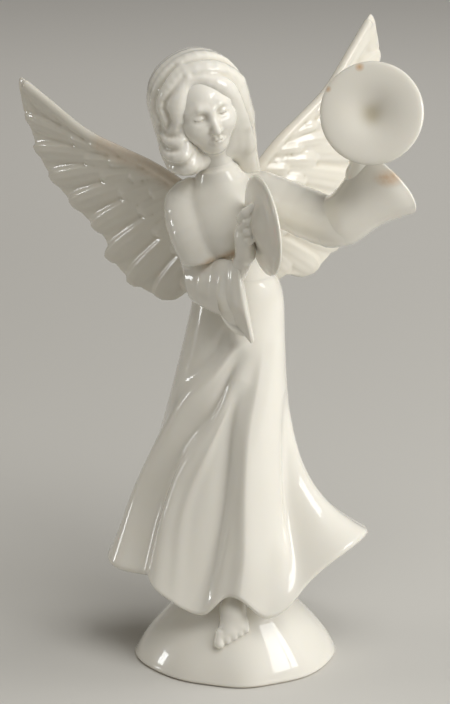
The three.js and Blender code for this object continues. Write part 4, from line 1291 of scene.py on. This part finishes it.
def fusedFeathers():  # one wing, flat and spread to +X
    steps = wings["steps"]
    arm, trail = wingLine(wings["arm"], steps), wingLine(wings["trail"], steps)
    plate, plateFaces = wingPlate()
    tip, tipFaces = wingTip()
    tipFaces = [[i + len(plate) for i in corners] for corners in tipFaces]
    mesh = bpy.data.meshes.new("wingPlate")
    mesh.from_pydata((np.vstack([plate, tip]) / 1000).tolist(), [], plateFaces + tipFaces)
    holder = bpy.data.objects.new("wingHolder", mesh)
    paths = [pathObject("wingLead", wingLine(wings["lead"], 40))]
    addTree(holder, edgeTree, {"Path": paths[0], "Radius": wings["edge"] / 1000, "Glaze": ivoryGlaze})
    for number, (start, end), stretch, width, thick, rollBy, bend in wings["rows"]:
        keep = slice(*stretch)
        roots = mixed(arm, trail, start)
        roots[:, 2] -= wings["quillDrop"] * np.linspace(0, 1, steps) ** 2
        rootPath = pathObject("featherRoots", roots[keep])
        tipPath = pathObject("featherTips", mixed(arm, trail, end)[keep])
        paths += [rootPath, tipPath]
        addTree(holder, featherTree, {"Root Path": rootPath, "Tip Path": tipPath, "Count": number,
                                      "Width": width / 1000, "Thickness": thick / 1000, "Roll": rollBy,
                                      "Bend": bend, "Glaze": ivoryGlaze})
    fuse = holder.modifiers.new("fuse", "REMESH")
    fuse.mode = "VOXEL"
    fuse.voxel_size = wings["voxel"][0] / 1000
    soften = holder.modifiers.new("soften", "SMOOTH")
    soften.factor, soften.iterations = wings["softening"]
    points, faces = asMesh(holder)
    for path in paths:
        bpy.data.objects.remove(path)
    return points, outward(points, faces)


wingPoints, wingFaces = fusedFeathers()


def makeWing(side):
    points, faces = wingPoints.copy(), wingFaces
    lead = wingLine(wings["lead"], 40)[4:26]  # clear of the shoulder and the tip
    nearLead = np.min(np.linalg.norm(points[:, None, ::2] - lead[None, :, ::2], axis=2), axis=1)
    stain = wings["stain"][side] * ease(nearLead, 4.5, 1.0)
    out = np.clip(points[:, 0] / wings["span"], 0, 1)
    points[:, 1] -= wings["camber"] * np.sin(np.pi * out)
    if side < 0:
        points[:, 0] *= -1
        faces = [f[::-1] for f in faces]
    place = (turned("z", wings["sweep"][side]), np.array(wings["mount"][side], float))
    return placed(placed(points, place), torsoPlace), faces, stain


# a deeper pool colour, which also darkens the wings as painted shade
wingGlaze = makeGlaze("wingGlaze", 0.7)
for side, name in ((-1, "right"), (1, "left")):
    points, faces, stain = makeWing(side)
    addPiece(name + "_wing_porcelain", points, faces, wingGlaze, stain, wings["pooled"])


# Studio

studio = {
    "floor": (0.62, 0.605, 0.57, 1),
    # painted light: the far floor is paler so the backdrop reads brighter
    "floorFar": (0.82, 0.795, 0.75, 1),
    "sky": (0.05, 0.046, 0.038, 1),
    "skyInGlaze": (0.26, 0.255, 0.24, 1),  # the pale room that the glaze mirrors
    "aim": (-3.4, 0, 93),
    "distance": 650,
    "elevation": 18,
    "sensor": 36,
    "focalPixels": 2275,
    "framePixels": 704,  # height of the picture
    "floorReach": 6,  # metres
    "floorGloss": {"Roughness": 0.6, "Specular IOR Level": 0.2},
    "floorFade": (-0.1, 0.9),  # metres behind the figure over which the floor is painted paler, as painted light on the far backdrop
    "backLight": (15, (0, 0.6, 1.4), 23, 75),  # watts, place in metres, tilt and spread in degrees
    "lampAim": (0, 0, 0.09),
    # name, azimuth, elevation, distance in metres, size, watts, colour, and whether the glaze mirrors it
    "lamps": [
        ("rightWindow", 47.5, 20, 0.9, (0.17, 0.40), 1.1, (1, 1, 1), True),  # a window of two panes
        ("rightWindow", 60.5, 20, 0.9, (0.17, 0.40), 1.1, (1, 1, 1), True),
        ("leftWindow", -88, 4, 0.9, (0.10, 0.17), 0.5, (0.97, 0.99, 1), True),
        ("softKey", 40, 55, 1.2, (0.6, 0.6), 4.9, (1, 1, 0.985), False),
        ("softTop", 4, 66, 1.2, (0.6, 0.6), 3.0, (1, 0.99, 0.96), False),
        ("softSide", 82, 17, 1.2, (0.6, 0.6), 4.0, (1, 1, 0.985), False),
        ("softRight", 100, 30, 1.2, (0.6, 0.6), 3.2, (1, 1, 0.985), False),
        ("softLeft", -100, 25, 1.2, (0.6, 0.6), 1.8, (1, 0.95, 0.86), False),
    ],
}


def makeFloor():
    far = studio["floorReach"]
    mesh = bpy.data.meshes.new("studioFloor")
    mesh.from_pydata([(-far, -far, 0), (far, -far, 0), (far, far, 0), (-far, far, 0)], [], [(0, 1, 2, 3)])
    material, tree, shader = newMaterial("paperSweep")
    add, _, blend = toolsFor(tree)
    spot = add("ShaderNodeSeparateXYZ", {0: add("ShaderNodeTexCoord").outputs["Object"]})
    start, end = studio["floorFade"]
    fade = add("ShaderNodeMapRange", {"Value": spot.outputs["Y"], "From Min": start, "From Max": end})
    # painted light: the floor is painted paler behind the figure
    tree.links.new(blend(fade.outputs[0], studio["floor"], studio["floorFar"]), shader["Base Color"])
    for label, value in studio["floorGloss"].items():
        shader[label].default_value = value
    mesh.materials.append(material)
    floor = bpy.data.objects.new("studioFloor", mesh)
    scene.collection.objects.link(floor)


def addLamp(name, azimuth, elevation, distance, size, power, color, mirrored):
    a, e = math.radians(azimuth), math.radians(elevation)
    light = bpy.data.lights.new(name, "AREA")
    light.shape = "RECTANGLE"
    light.size, light.size_y = size
    light.energy = power
    light.color = color
    lamp = bpy.data.objects.new(name, light)
    toLamp = np.array([math.sin(a) * math.cos(e), -math.cos(a) * math.cos(e), math.sin(e)])
    lamp.location = np.array(studio["lampAim"]) + toLamp * distance
    lamp.rotation_euler = Vector(toLamp).to_track_quat("Z", "Y").to_euler()
    lamp.visible_glossy = mirrored  # a lamp behind a diffuser shows no edge in the glaze
    scene.collection.objects.link(lamp)


def addBackLight():  # brightens the far floor, clear of the figure
    power, place, tilt, spread = studio["backLight"]
    light = bpy.data.lights.new("backLight", "SPOT")
    light.energy = power
    light.spot_size = math.radians(spread)
    light.spot_blend = 1.0
    light.shadow_soft_size = 0.2
    lamp = bpy.data.objects.new("backLight", light)
    lamp.location = place
    lamp.rotation_euler = (math.radians(tilt), 0, 0)
    lamp.visible_glossy = False
    scene.collection.objects.link(lamp)


def makeCamera():
    data = bpy.data.cameras.new("camera")
    data.sensor_width = studio["sensor"]
    data.lens = studio["sensor"] * studio["focalPixels"] / studio["framePixels"]
    data.clip_start, data.clip_end = 0.01, 50
    camera = bpy.data.objects.new("camera", data)
    e = math.radians(studio["elevation"])
    back = np.array([0, -math.cos(e), math.sin(e)])
    camera.location = (np.array(studio["aim"]) + back * studio["distance"]) / 1000
    camera.rotation_euler = (math.pi / 2 - e, 0, 0)
    scene.collection.objects.link(camera)
    scene.camera = camera


def makeSky():
    world = bpy.data.worlds.new("studioSky")
    world.use_nodes = True
    tree = world.node_tree
    add, _, blend = toolsFor(tree)
    path = add("ShaderNodeLightPath")
    color = blend(path.outputs["Is Glossy Ray"], studio["sky"], studio["skyInGlaze"])
    tree.links.new(color, tree.nodes["Background"].inputs["Color"])
    scene.world = world


makeFloor()
makeCamera()
makeSky()
for lamp in studio["lamps"]:
    addLamp(*lamp)
addBackLight()
print("studio lit")
